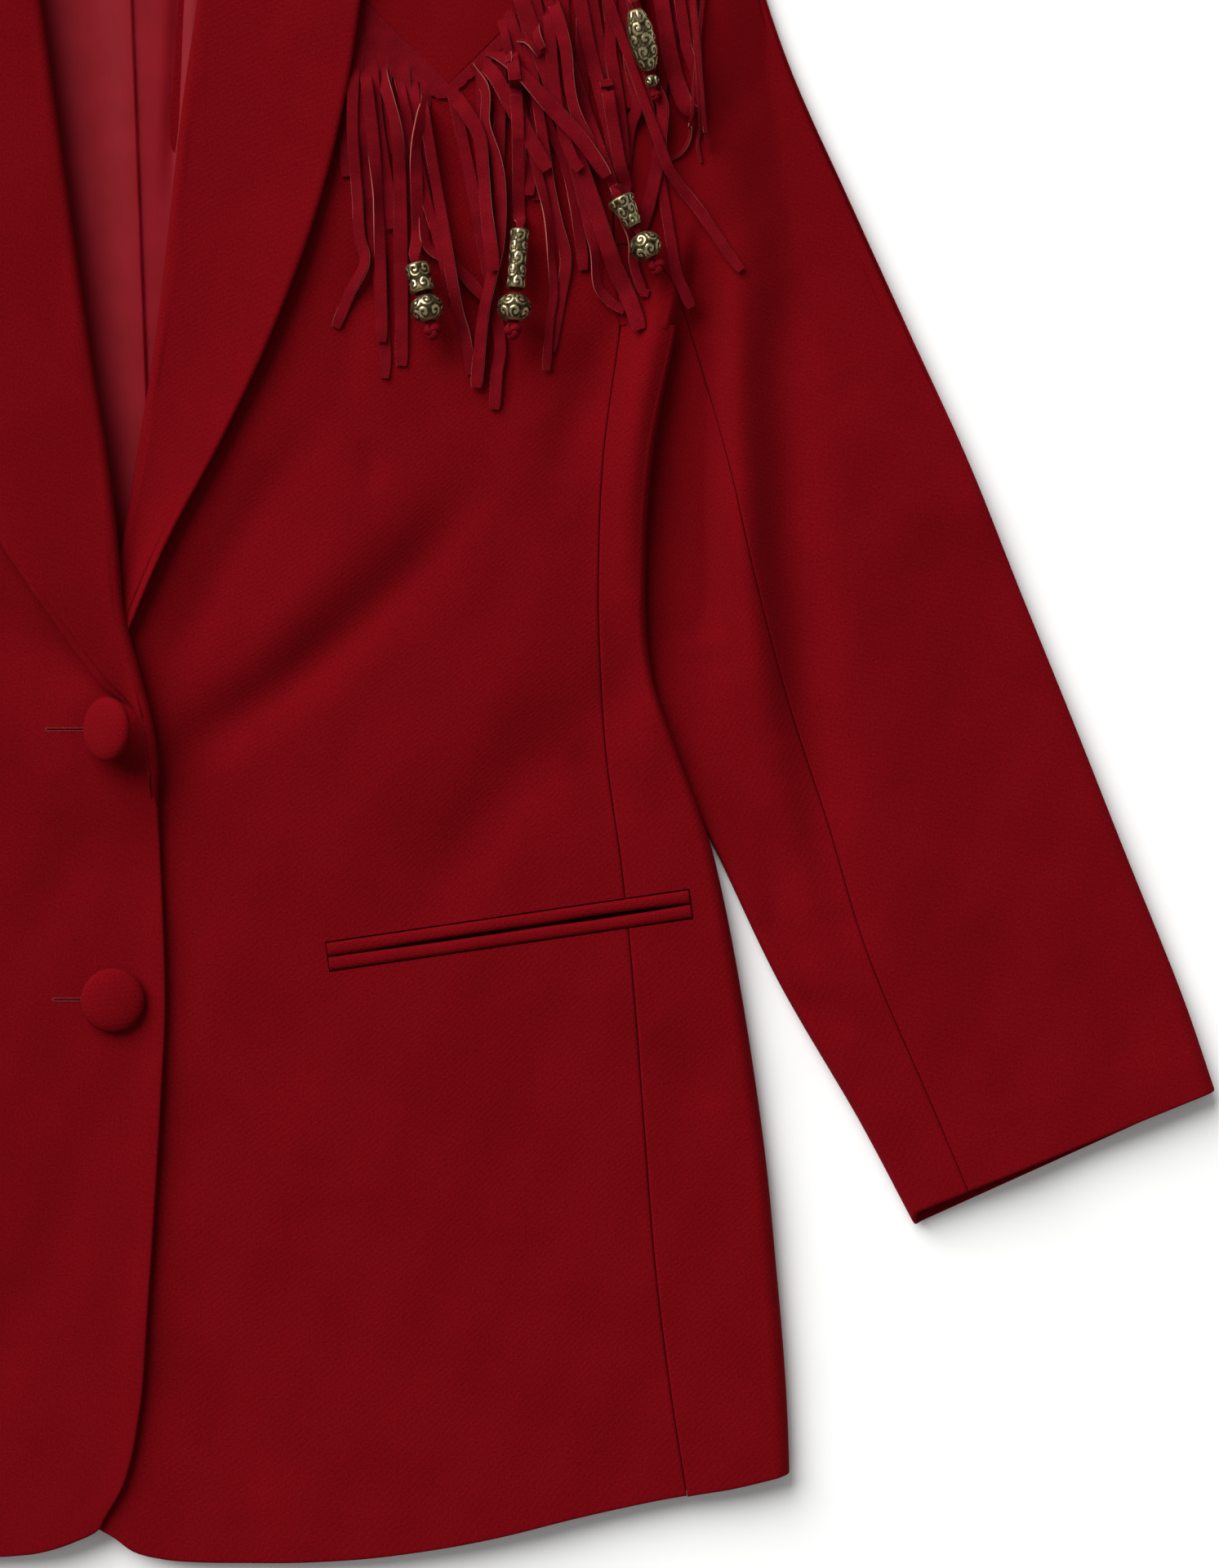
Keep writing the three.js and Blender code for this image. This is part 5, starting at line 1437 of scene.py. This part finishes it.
def strip_body(path, side, width, roll, thickness, crown=0.04, rim=0.0):
    """Points, faces, grain and cut-edge values of a strip along a path in space; rim is how
    strongly the painted highlight along one top edge shows.
    """
    count = len(path)
    ahead = unit(np.gradient(path, axis=0))
    up = unit(np.cross(side, ahead))
    up *= np.sign(up[:, 2:3] + 1e-9)
    cos, sin = np.cos(roll)[:, None], np.sin(roll)[:, None]
    across, out = side * cos + up * sin, up * cos - side * sin
    # Each ring point is (across, up, cut value); the top face's first edge takes rim, the pale cut
    # colour painted there as a highlight.
    ring = ((-1, 0.5, rim), (-0.84, 0.5, 0), (0, 0.5, 0), (1, 0.5, 0), (1, 0.22, 1),
            (1, -0.22, 1), (1, -0.5, 0), (0, -0.5, 0), (-1, -0.5, 0), (-1, -0.22, 1),
            (-1, 0.22, 1))
    rows, cut, grain = [], [], []
    run = run_along(path)
    for a, b, edge in ring:
        half_width = width / 2 - (0 if edge else STRIP_BEVEL)
        high = b * thickness + (crown if a == 0 and b > 0 else 0)
        rows.append(path + across * (a * half_width)[:, None] + out * high)
        # The painted highlight on the top edge shows in stretches along the strip; the cut edges
        # show all along.
        rim_highlight_share = 1 if edge in (0, 1) else np.clip(np.sin(run * 0.11 + edge * 90) + 0.35, 0, 1)
        cut.append(np.full(count, float(edge)) * rim_highlight_share)
        grain.append(np.stack([a * half_width + (7 if b < 0 else 0), run], -1))
    points = np.stack(rows, 1).reshape(-1, 3)
    size = len(ring)
    faces = ring_faces(count, size)
    faces.append(tuple(range(size))[::-1])
    faces.append(tuple(range((count - 1) * size, count * size)))
    return points, faces, np.stack(grain, 1).reshape(-1, 2), np.stack(cut, 1).ravel()


def outward(points, faces):
    """The same faces, turned round if they face inwards."""
    middle = points.mean(0)
    total = 0
    for face in faces:
        a, b, c = (points[face[k]] - middle for k in (0, 1, 2))
        total += np.dot(np.cross(b - a, c - a), a)
    return faces if total > 0 else [face[::-1] for face in faces]


def lay_strip(pile, rng, spots, width, thickness):
    """Lays one strip on the pile; spots are (q, y, roll in degrees)."""
    line = resampled(spots, 2.2)
    path, roll = line[:, :2], np.radians(line[:, 2])
    ahead = unit(np.gradient(path, axis=0))
    side = np.stack([-ahead[:, 1], ahead[:, 0]], -1)
    share = np.linspace(0, 1, len(path))
    length = np.linalg.norm(np.diff(path, axis=0), axis=1).sum()
    tip = np.clip((1 - share) * length / 5, 0, 1)
    uneven = 1 + 0.05 * np.sin(share * 9 + rng.uniform(0, 6))
    wide = width * uneven * (0.78 + 0.22 * np.sqrt(tip))
    base = pile.under(path, side, wide) + thickness * 0.62
    z = base + 0.42 * wide * np.abs(np.sin(roll)) + 0.25 * np.sin(share * 7 + rng.uniform(0, 6))
    z += 0.25
    z = mix(pile.bare(path) + thickness * 0.62, z, ease(3, 14, share * length))
    for s in np.linspace(-0.5, 0.5, 13):
        top = z + s * wide * np.sin(roll) + thickness / 2
        flat_side = side * np.cos(roll)[:, None]
        edge = path + flat_side * (s * wide)[:, None]
        dense = np.linspace(0, len(path) - 1, len(path) * 3)
        whole = np.stack([np.interp(dense, np.arange(len(path)), v)
                          for v in (edge[:, 0], edge[:, 1], top)], -1)
        pile.lay(whole)
    return np.column_stack([path, z]), np.column_stack([side, np.zeros(len(side))]), wide, roll


def joined(name, parts, look):
    """One object of many closed bodies."""
    points, faces, grain, cut, first = [], [], [], [], 0
    for body_points, body_faces, body_grain, body_cut in parts:
        faces += [tuple(k + first for k in face) for face in outward(body_points, body_faces)]
        first += len(body_points)
        points.append(body_points)
        grain.append(body_grain)
        cut.append(body_cut)
    values = {"cut": np.concatenate(cut)}
    piece = make_mesh(name, np.concatenate(points), faces, np.concatenate(grain), values, look)
    make_active(piece)
    bpy.ops.object.shade_smooth_by_angle(angle=SHARP_ABOVE)
    return piece


def mirrored_body(half, body):
    """A body of a strip or knot, on its own half's side."""
    points = body[0] * np.array((half["sign"], 1, 1))
    return (points, *body[1:])


def header_body(pile):
    """The band of suede that the strips are cut from, where it shows below the yoke."""
    q = np.unique(np.append(np.linspace(90, 211, 90), YOKE_POINT[0]))
    edge = YOKE_POINT[1] + np.abs(q - YOKE_POINT[0])
    ragged = 0.5 * np.sin(q * 0.9) + 0.4 * np.sin(q * 2.3)
    rows = []
    for share in (1, 0.985, 0.9, 0.7, 0.5, 0.3, 0.1, -0.05):
        y = edge - share * (at(HEADER, "q", q, "depth") + ragged)
        lift = 0.25 if share > 0 else 0.1
        rows.append(np.stack([q, y, pile.bare(np.stack([q, y], -1)) + lift], -1))
    inner = np.stack(rows)
    outer = inner + (0, 0, 1.0)
    pile.lay(outer.reshape(-1, 3))
    shell = np.concatenate([outer.reshape(-1, 3), inner.reshape(-1, 3)])
    faces = wall_faces(*outer.shape[:2]).tolist()
    return shell, faces, shell[:, :2].copy(), np.zeros(len(shell))


def below_header(spot):
    """How far a place lies below the suede's uncut band."""
    depth = float(at(HEADER, "q", spot[0], "depth"))
    return YOKE_POINT[1] + abs(spot[0] - YOKE_POINT[0]) - depth - spot[1]


def rooted(spots):
    """A strip that starts short of the band is led up into it."""
    spots = np.asarray(spots, float)
    short = below_header(spots[0])
    if short < -3:
        edge = YOKE_POINT[1] + np.abs(spots[0, 0] - YOKE_POINT[0])
        spots[0, 1] = min(spots[0, 1], edge - 0.5)
        return spots
    back = spots[0] - spots[1]
    lean = np.clip(back[0] / max(abs(back[1]), 1), -0.35, 0.35)
    root = spots[0].copy()
    depth = float(at(HEADER, "q", spots[0, 0], "depth"))
    root[:2] += np.array((lean, 1.0)) * (short + min(4, depth - 0.5))
    root[2:] = 0
    return np.vstack([root, spots])


def strip_rows(half, rng):
    """The strips of a half: as laid out on the left, and shifted by chance on the right."""
    for row in sorted(STRIPS, key=lambda row: below_header(fringe_spot(row[1])) < ROOT_REACH):
        width, points = row[0] * FRINGE_GRID["pitch"] * 0.92, row[1:]
        spots = np.array([fringe_spot(point) for point in points], float)
        if half["name"] == "right":
            run = np.linspace(0, 1, len(spots))
            spots[:, 0] += run * rng.uniform(-6, 6) + rng.uniform(-1.5, 1.5)
            spots[:, 1] += run * rng.uniform(-9, 7)
        spots[:, 2] += rng.uniform(-5, 5, len(spots))
        yield rooted(spots), width


def back_strips(rng):
    """Shorter strips behind, which fill the fringe where it is thick."""
    for q in (*np.arange(93, 124, 8.2), *np.arange(150, 208, 8.2)):
        top = YOKE_POINT[1] + abs(q - YOKE_POINT[0]) - 3
        length = rng.uniform(50, 84)
        lean = rng.uniform(-7, 7) + 0.04 * (q - 140)
        yield np.array([(q, top, 0), (q + 0.3 * lean, top - 0.4 * length, rng.uniform(-20, 20)),
                        (q + lean, top - length, 0)], float), rng.uniform(4.6, 6)


def bead_axis(half, name):
    """The line through a thong's two beads, high enough for both to rest on the fringe."""
    spots, forms = THONGS[name]["at"], BEADS[name]

    def rest(q, y, radius):
        floor = front_top(half, min(q, 206), y) + FRINGE_LIFT + float(ease(190, 205, q)) * 1.7
        return float(floor) + FRINGE_THICKNESS + SEAM + radius

    heights = [rest(*spot, form[1]) for spot, form in zip(spots, forms)]
    ends = [Vector((half["sign"] * q, y, z)) for (q, y), z in zip(spots, heights)]
    lean = abs(heights[0] - heights[1]) / (ends[1] - ends[0]).length
    for end in ends:
        end.z += lean * max(forms[0][2], forms[1][2])
    return ends


def knot_body(centre, size):
    """A suede lace tied in an overhand knot."""
    t = np.linspace(0, 2 * math.pi, 64, endpoint=False)
    loop = np.stack([np.sin(t) + 2 * np.sin(2 * t), np.cos(t) - 2 * np.cos(2 * t),
                     -1.3 * np.sin(3 * t)], -1) * size * 0.24
    ahead = unit(np.roll(loop, -1, 0) - np.roll(loop, 1, 0))
    side = unit(np.cross(ahead, loop - loop.mean(0)))
    up = np.cross(side, ahead)
    ring = [(math.cos(a) * size * 0.55, math.sin(a) * size * 0.36)
            for a in np.linspace(0, 2 * math.pi, 10, endpoint=False)]
    points = np.stack([loop + side * a + up * b for a, b in ring], 1).reshape(-1, 3) + centre
    around, count = len(ring), len(loop)
    grain = np.stack(np.meshgrid(np.arange(around) * 1.0, np.arange(count) * 0.5), -1)
    cut = np.tile([0.6 if k in (0, 5) else 0.0 for k in range(around)], count)
    return points, ring_faces(count, around, closed=True), grain.reshape(-1, 2), cut


class BLAZER_OT_fringe(bpy.types.Operator):
    """The suede fringe: a header under each yoke, and its strips, laid on one another"""

    bl_idname = "blazer.fringe"
    bl_label = "Fringe and thongs"

    def execute(self, context):
        settings = context.scene.blazer_fringe
        thickness = settings.strip_thickness / MM
        for half in HALVES:
            rng = np.random.default_rng(settings.seed + (half["sign"] < 0))
            name = half["name"]
            under = [bpy.data.objects[f"wool_{part}_{name}"]
                     for part in ("front", "yoke", "upper_sleeve", "under_sleeve")]
            pile = Pile(half, under)
            bodies = []
            laid = [*((s, w, 0.8) for s, w in back_strips(rng)),
                    *((s, w, thickness) for s, w in strip_rows(half, rng))]
            for spots, width, thick in laid:
                path, side, wide, roll = lay_strip(pile, rng, spots, width, thick)
                # How strongly the painted highlight along the strip's top edge shows.
                rim = rng.uniform(0.75, 1.0)
                body = strip_body(path, side, wide, roll, thick, rim=rim)
                bodies.append(mirrored_body(half, body))
            bodies.append(mirrored_body(half, header_body(pile)))
            piece = joined(f"suede_fringe_{name}", bodies, suede())
            settle(piece, "red_suede", f"fringe_{name}")
            area = sum(polygon.area for polygon in piece.data.polygons) / 2
            others = self.tie_thongs(half, pile)
            length = max(FRINGE_CUT["shortest"], area / FRINGE_CUT["width"] * FRINGE_CUT["gaps"])
        return {"FINISHED"}

    def tie_thongs(self, half, pile):
        """A thong through each pair of beads, with a knot at its end."""
        made = []
        for name, thong in THONGS.items():
            from_bead, to_bead = bead_axis(half, name)
            first, second = BEADS[name]
            along = (to_bead - from_bead).normalized()
            low = [pile_under_bead(pile, half, end, form[1])
                   for end, form in ((from_bead, first), (to_bead, second))]
            lift = max(0, *(need - end.z for need, end in zip(low, (from_bead, to_bead))))
            for end in (from_bead, to_bead):
                end.z += lift
            marks = rooted([fringe_spot(point) for point in thong["through"]])
            spots, rolls = marks[:, :2], marks[:, 2]
            above = from_bead - along * (first[2] + 4)
            knot = to_bead + along * thong["knot"]
            heights = [pile.z[pile.cells(np.array([q]), np.array([y]))][0] + 1 for q, y in spots]
            line = [(q, y, z, roll, 5.0) for (q, y), z, roll in zip(spots, heights, rolls)]
            sign = half["sign"]
            for point, wide in ((above, 4.4), (from_bead - along * first[2], 2.4),
                                (from_bead, 2.1), (to_bead, 2.1), (knot, 2.1)):
                line.append((sign * point.x, point.y, point.z, 0, wide))
            line = resampled(np.array(line, float), THONG_STEP)
            path, roll, wide = line[:, :3], np.radians(line[:, 3]), line[:, 4]
            free = wide > THONG_IN_BEADS
            floor = pile.z[pile.cells(path[:, 0], path[:, 1])] + THONG_CLEAR
            run = np.arange(len(path)) * THONG_STEP
            tucked = np.where(free, 1 - ease(3, 16, run), 0)
            floor = mix(floor, pile.bare(path) + 0.6, tucked)
            path[:, 2] = mix(path[:, 2], pile.bare(path) + 0.6, tucked)
            path[:, 2] = np.where(free, np.maximum(path[:, 2], floor), path[:, 2])
            ahead = np.gradient(path, axis=0)
            side = unit(np.stack([-ahead[:, 1], ahead[:, 0], 0 * ahead[:, 0]], -1))
            thick = 1.0 if second[1] > 3 else 0.8
            wide = np.where(free, wide, np.minimum(wide, second[1] * 0.45 * 1.2))
            bodies = [mirrored_body(half, strip_body(path, side, wide, roll, thick, 0.1))]
            centre = np.array((knot.x, knot.y, knot.z))
            size = min(3.4, thong["knot"] - 4)
            bodies.append(knot_body(centre, size))
            piece = joined(f"suede_thong_{name}_{half['name']}", bodies, suede())
            settle(piece, "red_suede", f"thong_{name}_{half['name']}")
            made.append(piece)
            made += make_beads(half, name, from_bead, to_bead, along)
        return made


def pile_under_bead(pile, half, end, radius):
    """How high a bead's axis has to be at one end, to lie on the fringe."""
    angles = np.linspace(0, 2 * math.pi, 16)
    needs = []
    for share in (0, 0.35, 0.7):
        q = half["sign"] * end.x + share * radius * np.cos(angles)
        y = end.y + share * radius * np.sin(angles)
        needs.append(float(pile.z[pile.cells(q, y)].max()) + radius * math.sqrt(1 - share**2))
    return max(needs)


# ---------------------------------------------------------------- beads and buttons
def bead_outline(form, radius, half_length):
    """The bead's side, from its lower to its upper end."""
    if form == "tube":
        return [(radius * 0.86, -half_length), (radius, -half_length + 0.7),
                (radius, -half_length + 2.2), (radius * 0.93, -half_length + 2.7),
                (radius * 0.93, half_length - 2.7), (radius, half_length - 2.2),
                (radius, half_length - 0.7), (radius * 0.86, half_length)]
    if form == "cone":
        return [(radius * 0.5, -half_length), (radius * 0.62, -half_length + 0.9),
                (radius * 0.62, -half_length + 2), (radius * 0.94, half_length - 2.4),
                (radius, half_length - 1.8), (radius, half_length - 0.7),
                (radius * 0.88, half_length)]
    reach = 1.1 if form == "spindle" else 1.15
    angles = np.linspace(-reach, reach, 17)
    return [(radius * math.cos(a), half_length * math.sin(a) / math.sin(reach)) for a in angles]


def evened(outline, count):
    """Points evenly spaced along an outline."""
    outline = np.array(outline, float)
    run = run_along(outline)
    wanted = np.linspace(0, run[-1], count)
    return np.stack([np.interp(wanted, run, outline[:, k]) for k in (0, 1)], -1)


def scrollwork(turn, height, radius, half_length, seed):
    """Engraved scrolls on a bead: 0 in the hollows and 1 on the raised curls."""
    rng = np.random.default_rng(seed)
    relief = np.zeros(turn.shape)
    bands = max(1, int(round(half_length * 2 / 5)))
    around = max(3, int(round(2 * math.pi * radius / 5.6)))
    for band in range(bands):
        middle = (band + 0.5) / bands * 2 * half_length - half_length
        for k in range(around):
            angle = 2 * math.pi * (k + 0.5 * (band % 2)) / around + rng.uniform(-0.1, 0.1)
            across = radius * ((turn - angle + math.pi) % (2 * math.pi) - math.pi)
            reach = np.hypot(across, height - middle)
            hand = 1 if k % 2 else -1
            swirl = np.arctan2(height - middle, across * hand)
            wave = 0.5 + 0.5 * np.cos(swirl + reach * 2.9)
            inside = 1 - ease(2.2, 3.1, reach)
            relief = np.maximum(relief, inside * ease(0.3, 0.75, wave))
    return relief


def turned_bead(name, form, radius, half_length, seed):
    """A bead turned from its outline with a bore, then engraved."""
    bore = min(BEAD_BORE, radius * 0.45)
    side = evened(bead_outline(form, radius, half_length), 34)
    inside = evened([(side[-1][0], half_length), (bore, half_length), (bore, -half_length),
                     (side[0][0], -half_length)], 12)[1:-1]
    profile = np.concatenate([side, inside])
    bpy.ops.object.select_all(action="DESELECT")
    bpy.ops.mesh.primitive_circle_add(vertices=len(profile), radius=MM, fill_type="NOTHING")
    piece = bpy.context.object
    piece.name = piece.data.name = name
    for vertex, (r, h) in zip(piece.data.vertices, profile):
        vertex.co = (r * MM, 0, h * MM)
    bpy.ops.object.mode_set(mode="EDIT")
    bpy.ops.mesh.select_all(action="SELECT")
    bpy.ops.mesh.spin(steps=72, angle=2 * math.pi, center=(0, 0, 0), axis=(0, 0, 1))
    bpy.ops.mesh.select_all(action="SELECT")
    bpy.ops.mesh.remove_doubles(threshold=2e-6)
    bpy.ops.mesh.normals_make_consistent(inside=False)
    bpy.ops.object.mode_set(mode="OBJECT")
    count = len(piece.data.vertices)
    place = np.empty(count * 3)
    piece.data.vertices.foreach_get("co", place)
    place = place.reshape(-1, 3) / MM
    reach = np.hypot(place[:, 0], place[:, 1])
    turn = np.arctan2(place[:, 1], place[:, 0])
    wall_at = np.interp(place[:, 2], side[:, 1], side[:, 0])
    outside = ease(0.7, 1, 1 - np.abs(reach - wall_at) / 0.8)
    ends = ease(half_length, half_length - 1.4, np.abs(place[:, 2]))
    relief = scrollwork(turn, place[:, 2], radius, half_length, seed) * outside
    grow = 1 + (relief - 0.55) * 0.4 * outside * ends / np.maximum(reach, 1)
    place[:, :2] *= grow[:, None]
    piece.data.vertices.foreach_set("co", (place * MM).ravel())
    rim = 0.62 * (1 - ends) * outside
    piece.data.attributes.new("relief", "FLOAT", "POINT").data.foreach_set(
        "value", np.maximum(relief * ends, rim))
    piece.data.polygons.foreach_set("use_smooth", [True] * len(piece.data.polygons))
    piece.data.materials.append(antique_brass())
    return piece


def make_beads(half, name, from_bead, to_bead, along):
    """The two beads of a thong, turned and set along it."""
    beads = []
    for level, centre, (form, radius, length) in zip(("upper", "lower"), (from_bead, to_bead),
                                                     BEADS[name]):
        label = f"{level}_bead_{name}_{half['name']}"
        piece = turned_bead(f"brass_{label}", form, radius, length, len(label) + ord(name))
        turn = Vector((0, 0, 1)).rotation_difference(-along).to_matrix().to_4x4()
        move = Matrix.Translation((centre - Vector((0, LENGTH / 2, 0))) * MM)
        piece.data.transform(move @ turn)
        settle(piece, "antique_brass", label)
        beads.append(piece)
    return beads


class BLAZER_OT_buttons(bpy.types.Operator):
    """The covered buttons with their shanks, and the stitched buttonholes"""

    bl_idname = "blazer.buttons"
    bl_label = "Buttons and buttonholes"

    stitch_gap = 0.62
    stitch_length = 0.8

    def execute(self, context):
        for button in BUTTONS:
            disc = self.covered_disc(button)
            self.stitch(button)
            settle(disc, "red_wool", button["name"])
        return {"FINISHED"}

    def covered_disc(self, button):
        """A domed button, its cloth drawn over the rim and puckered below, with its shank."""
        rim, low = 3.2, 0.4
        flat = BUTTON_RADIUS - rim
        waist = low + 2.1
        dome = BUTTON_HEIGHT - waist
        outline = [(BUTTON_RADIUS * math.sin(a), waist + dome * math.cos(a) ** 0.8)
                   for a in np.linspace(0, math.pi / 2, 22)[:-1]]
        outline += [(BUTTON_RADIUS, waist), (BUTTON_RADIUS - 0.5, waist - 0.9),
                    (BUTTON_RADIUS - 1.6, low + 0.35)]
        outline += [(flat, low), (2.4, low), (1.7, low - 0.8), (1.7, -3.2), (0, -3.3)]
        profile = evened(outline, 41)
        bpy.ops.object.select_all(action="DESELECT")
        bpy.ops.mesh.primitive_uv_sphere_add(segments=72, ring_count=40, radius=1)
        piece = bpy.context.object
        piece.name = piece.data.name = f"wool_{button['name']}"
        place = np.array([vertex.co for vertex in piece.data.vertices])
        row = np.round(np.degrees(np.arccos(np.clip(place[:, 2], -1, 1))) / 180 * 40).astype(int)
        turn = np.arctan2(place[:, 1], place[:, 0])
        reach, height = profile[row, 0], profile[row, 1]
        pucker = 0.12 * np.sin(turn * 17) * ease(10, 12.6, reach) * ease(4.2, 1.5, height)
        reach = reach + pucker
        place = np.stack([reach * np.cos(turn), reach * np.sin(turn), height], -1)
        piece.data.vertices.foreach_set("co", (place * MM).ravel())
        layer = piece.data.uv_layers[0]
        layer.name = "grain"
        arc = run_along(profile)
        cloth = np.stack([arc[row] * np.cos(turn + 0.5), arc[row] * np.sin(turn + 0.5)], -1) * MM
        layer.data.foreach_set("uv", cloth[corner_points(piece.data)].ravel())
        piece.data.polygons.foreach_set("use_smooth", [True] * len(piece.data.polygons))
        piece.data.materials.append(brushed_wool())
        rest = float(front_top(HALVES[1], -button["x"], button["y"])) + SEAM + button["rise"]
        tilt = Quaternion((0, 1, 0), button["tilt"]).to_matrix().to_4x4()
        middle = BUTTON_HEIGHT / 2
        shift = 1.6 * middle * math.sin(-button["tilt"])
        if button["rise"] > 0:
            rest += middle * 0.4
        spot = Vector((button["x"] + shift, button["y"] - LENGTH / 2, rest)) * MM
        piece.data.transform(Matrix.Translation(spot) @ tilt)
        return piece

    def stitch(self, button):
        """Purl stitches over both edges of the slit and round its end."""
        end = button["x"] - BUTTONHOLE["length"]
        places = []
        for x in np.arange(end, button["x"] - BUTTONHOLE["eye"], self.stitch_gap):
            places += [(x, button["y"] + 0.15, 90.0), (x, button["y"] - 0.15, -90.0)]
        places += [(end, button["y"], angle) for angle in np.arange(112, 250, 22.5)]
        bodies = []
        for x, y, angle in places:
            out = np.array((math.cos(math.radians(angle)), math.sin(math.radians(angle))))
            run = np.array([0.0, 0.25, 0.6, 0.85, 1.0]) * self.stitch_length
            spots = np.array((x, y)) + out * (run + BUTTONHOLE["width"] / 2 - 0.1)[:, None]
            face = cloth_top(HALVES[1], -spots[:, 0], spots[:, 1])
            z = face + np.array([-0.3, 0.1, 0.16, 0.08, -0.2])
            side = np.tile((-out[1], out[0], 0.0), (5, 1))
            path = np.column_stack([spots, z])
            body = strip_body(path, side, np.full(5, 0.4), np.zeros(5), 0.3, 0.05)
            bodies.append((body[0], body[1], body[2], body[3] * 0))
        piece = joined(f"thread_hole_{button['name'][7:]}", bodies, button_thread())
        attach(piece, "root")


# ---------------------------------------------------------------- stage
VIEW = {"x": 0.2015, "y": -0.0967, "height": 0.6336, "camera": 1.6, "level": 0.01,
        "light": (-0.86, 1.06, 0.94)}


class BLAZER_OT_stage(bpy.types.Operator):
    """A pale floor, soft light from the upper left, and a camera straight above"""

    bl_idname = "blazer.stage"
    bl_label = "Floor, light and camera"

    def execute(self, context):
        scene, light = context.scene, context.scene.blazer_light
        bpy.ops.object.select_all(action="DESELECT")
        bpy.ops.mesh.primitive_plane_add(size=8)
        floor = context.object
        floor.name = "floor"
        floor.data.materials.append(pale_floor())
        scene.world = bpy.data.worlds.new("studio")
        scene.world.use_nodes = True
        sky = scene.world.node_tree.nodes["Background"]
        sky.inputs["Color"].default_value = (1, 1, 1, 1)
        sky.inputs["Strength"].default_value = light.sky
        lamp = bpy.data.lights.new("key", "SUN")
        lamp.energy, lamp.angle = light.key, light.spread
        key = bpy.data.objects.new("key", lamp)
        key.rotation_euler = Vector(VIEW["light"]).to_track_quat("Z", "Y").to_euler()
        scene.collection.objects.link(key)
        lens = bpy.data.cameras.new("above")
        lens.sensor_fit, lens.sensor_height = "VERTICAL", 36
        lens.lens = 36 * (VIEW["camera"] - VIEW["level"]) / VIEW["height"]
        camera = bpy.data.objects.new("above", lens)
        camera.location = (VIEW["x"], VIEW["y"], VIEW["camera"])
        scene.collection.objects.link(camera)
        scene.camera = camera
        scene.view_settings.view_transform = "Standard"
        return {"FINISHED"}


OPERATORS = (
    BLAZER_OT_pockets, BLAZER_OT_buttons, BLAZER_OT_back, BLAZER_OT_lining, BLAZER_OT_fronts,
    BLAZER_OT_side_panels, BLAZER_OT_yokes, BLAZER_OT_collar, BLAZER_OT_sleeves,
    BLAZER_OT_fringe, BLAZER_OT_stage,
)


class BLAZER_PT_panel(bpy.types.Panel):
    """The blazer's settings and its pieces, in the order in which they are made"""

    bl_label = "Blazer"
    bl_space_type = "VIEW_3D"
    bl_region_type = "UI"
    bl_category = "Blazer"

    def draw(self, context):
        for group in ("blazer_cloth", "blazer_fringe", "blazer_light"):
            settings = getattr(context.scene, group)
            for name in settings.__annotations__:
                self.layout.prop(settings, name)
        for operator in OPERATORS:
            self.layout.operator(operator.bl_idname)


GROUPS = {"blazer_cloth": BlazerCloth, "blazer_fringe": BlazerFringe, "blazer_light": BlazerLight}
CLASSES = (*GROUPS.values(), *OPERATORS, BLAZER_PT_panel)


def register():
    for cls in CLASSES:
        bpy.utils.register_class(cls)
    for name, group in GROUPS.items():
        setattr(bpy.types.Scene, name, bpy.props.PointerProperty(type=group))


def unregister():
    for name in GROUPS:
        delattr(bpy.types.Scene, name)
    for cls in reversed(CLASSES):
        bpy.utils.unregister_class(cls)


def main():
    """Makes every piece and the stage."""
    register()
    for operator in OPERATORS:
        getattr(bpy.ops.blazer, operator.bl_idname.split(".")[1])()


if __name__ == "__main__":
    main()
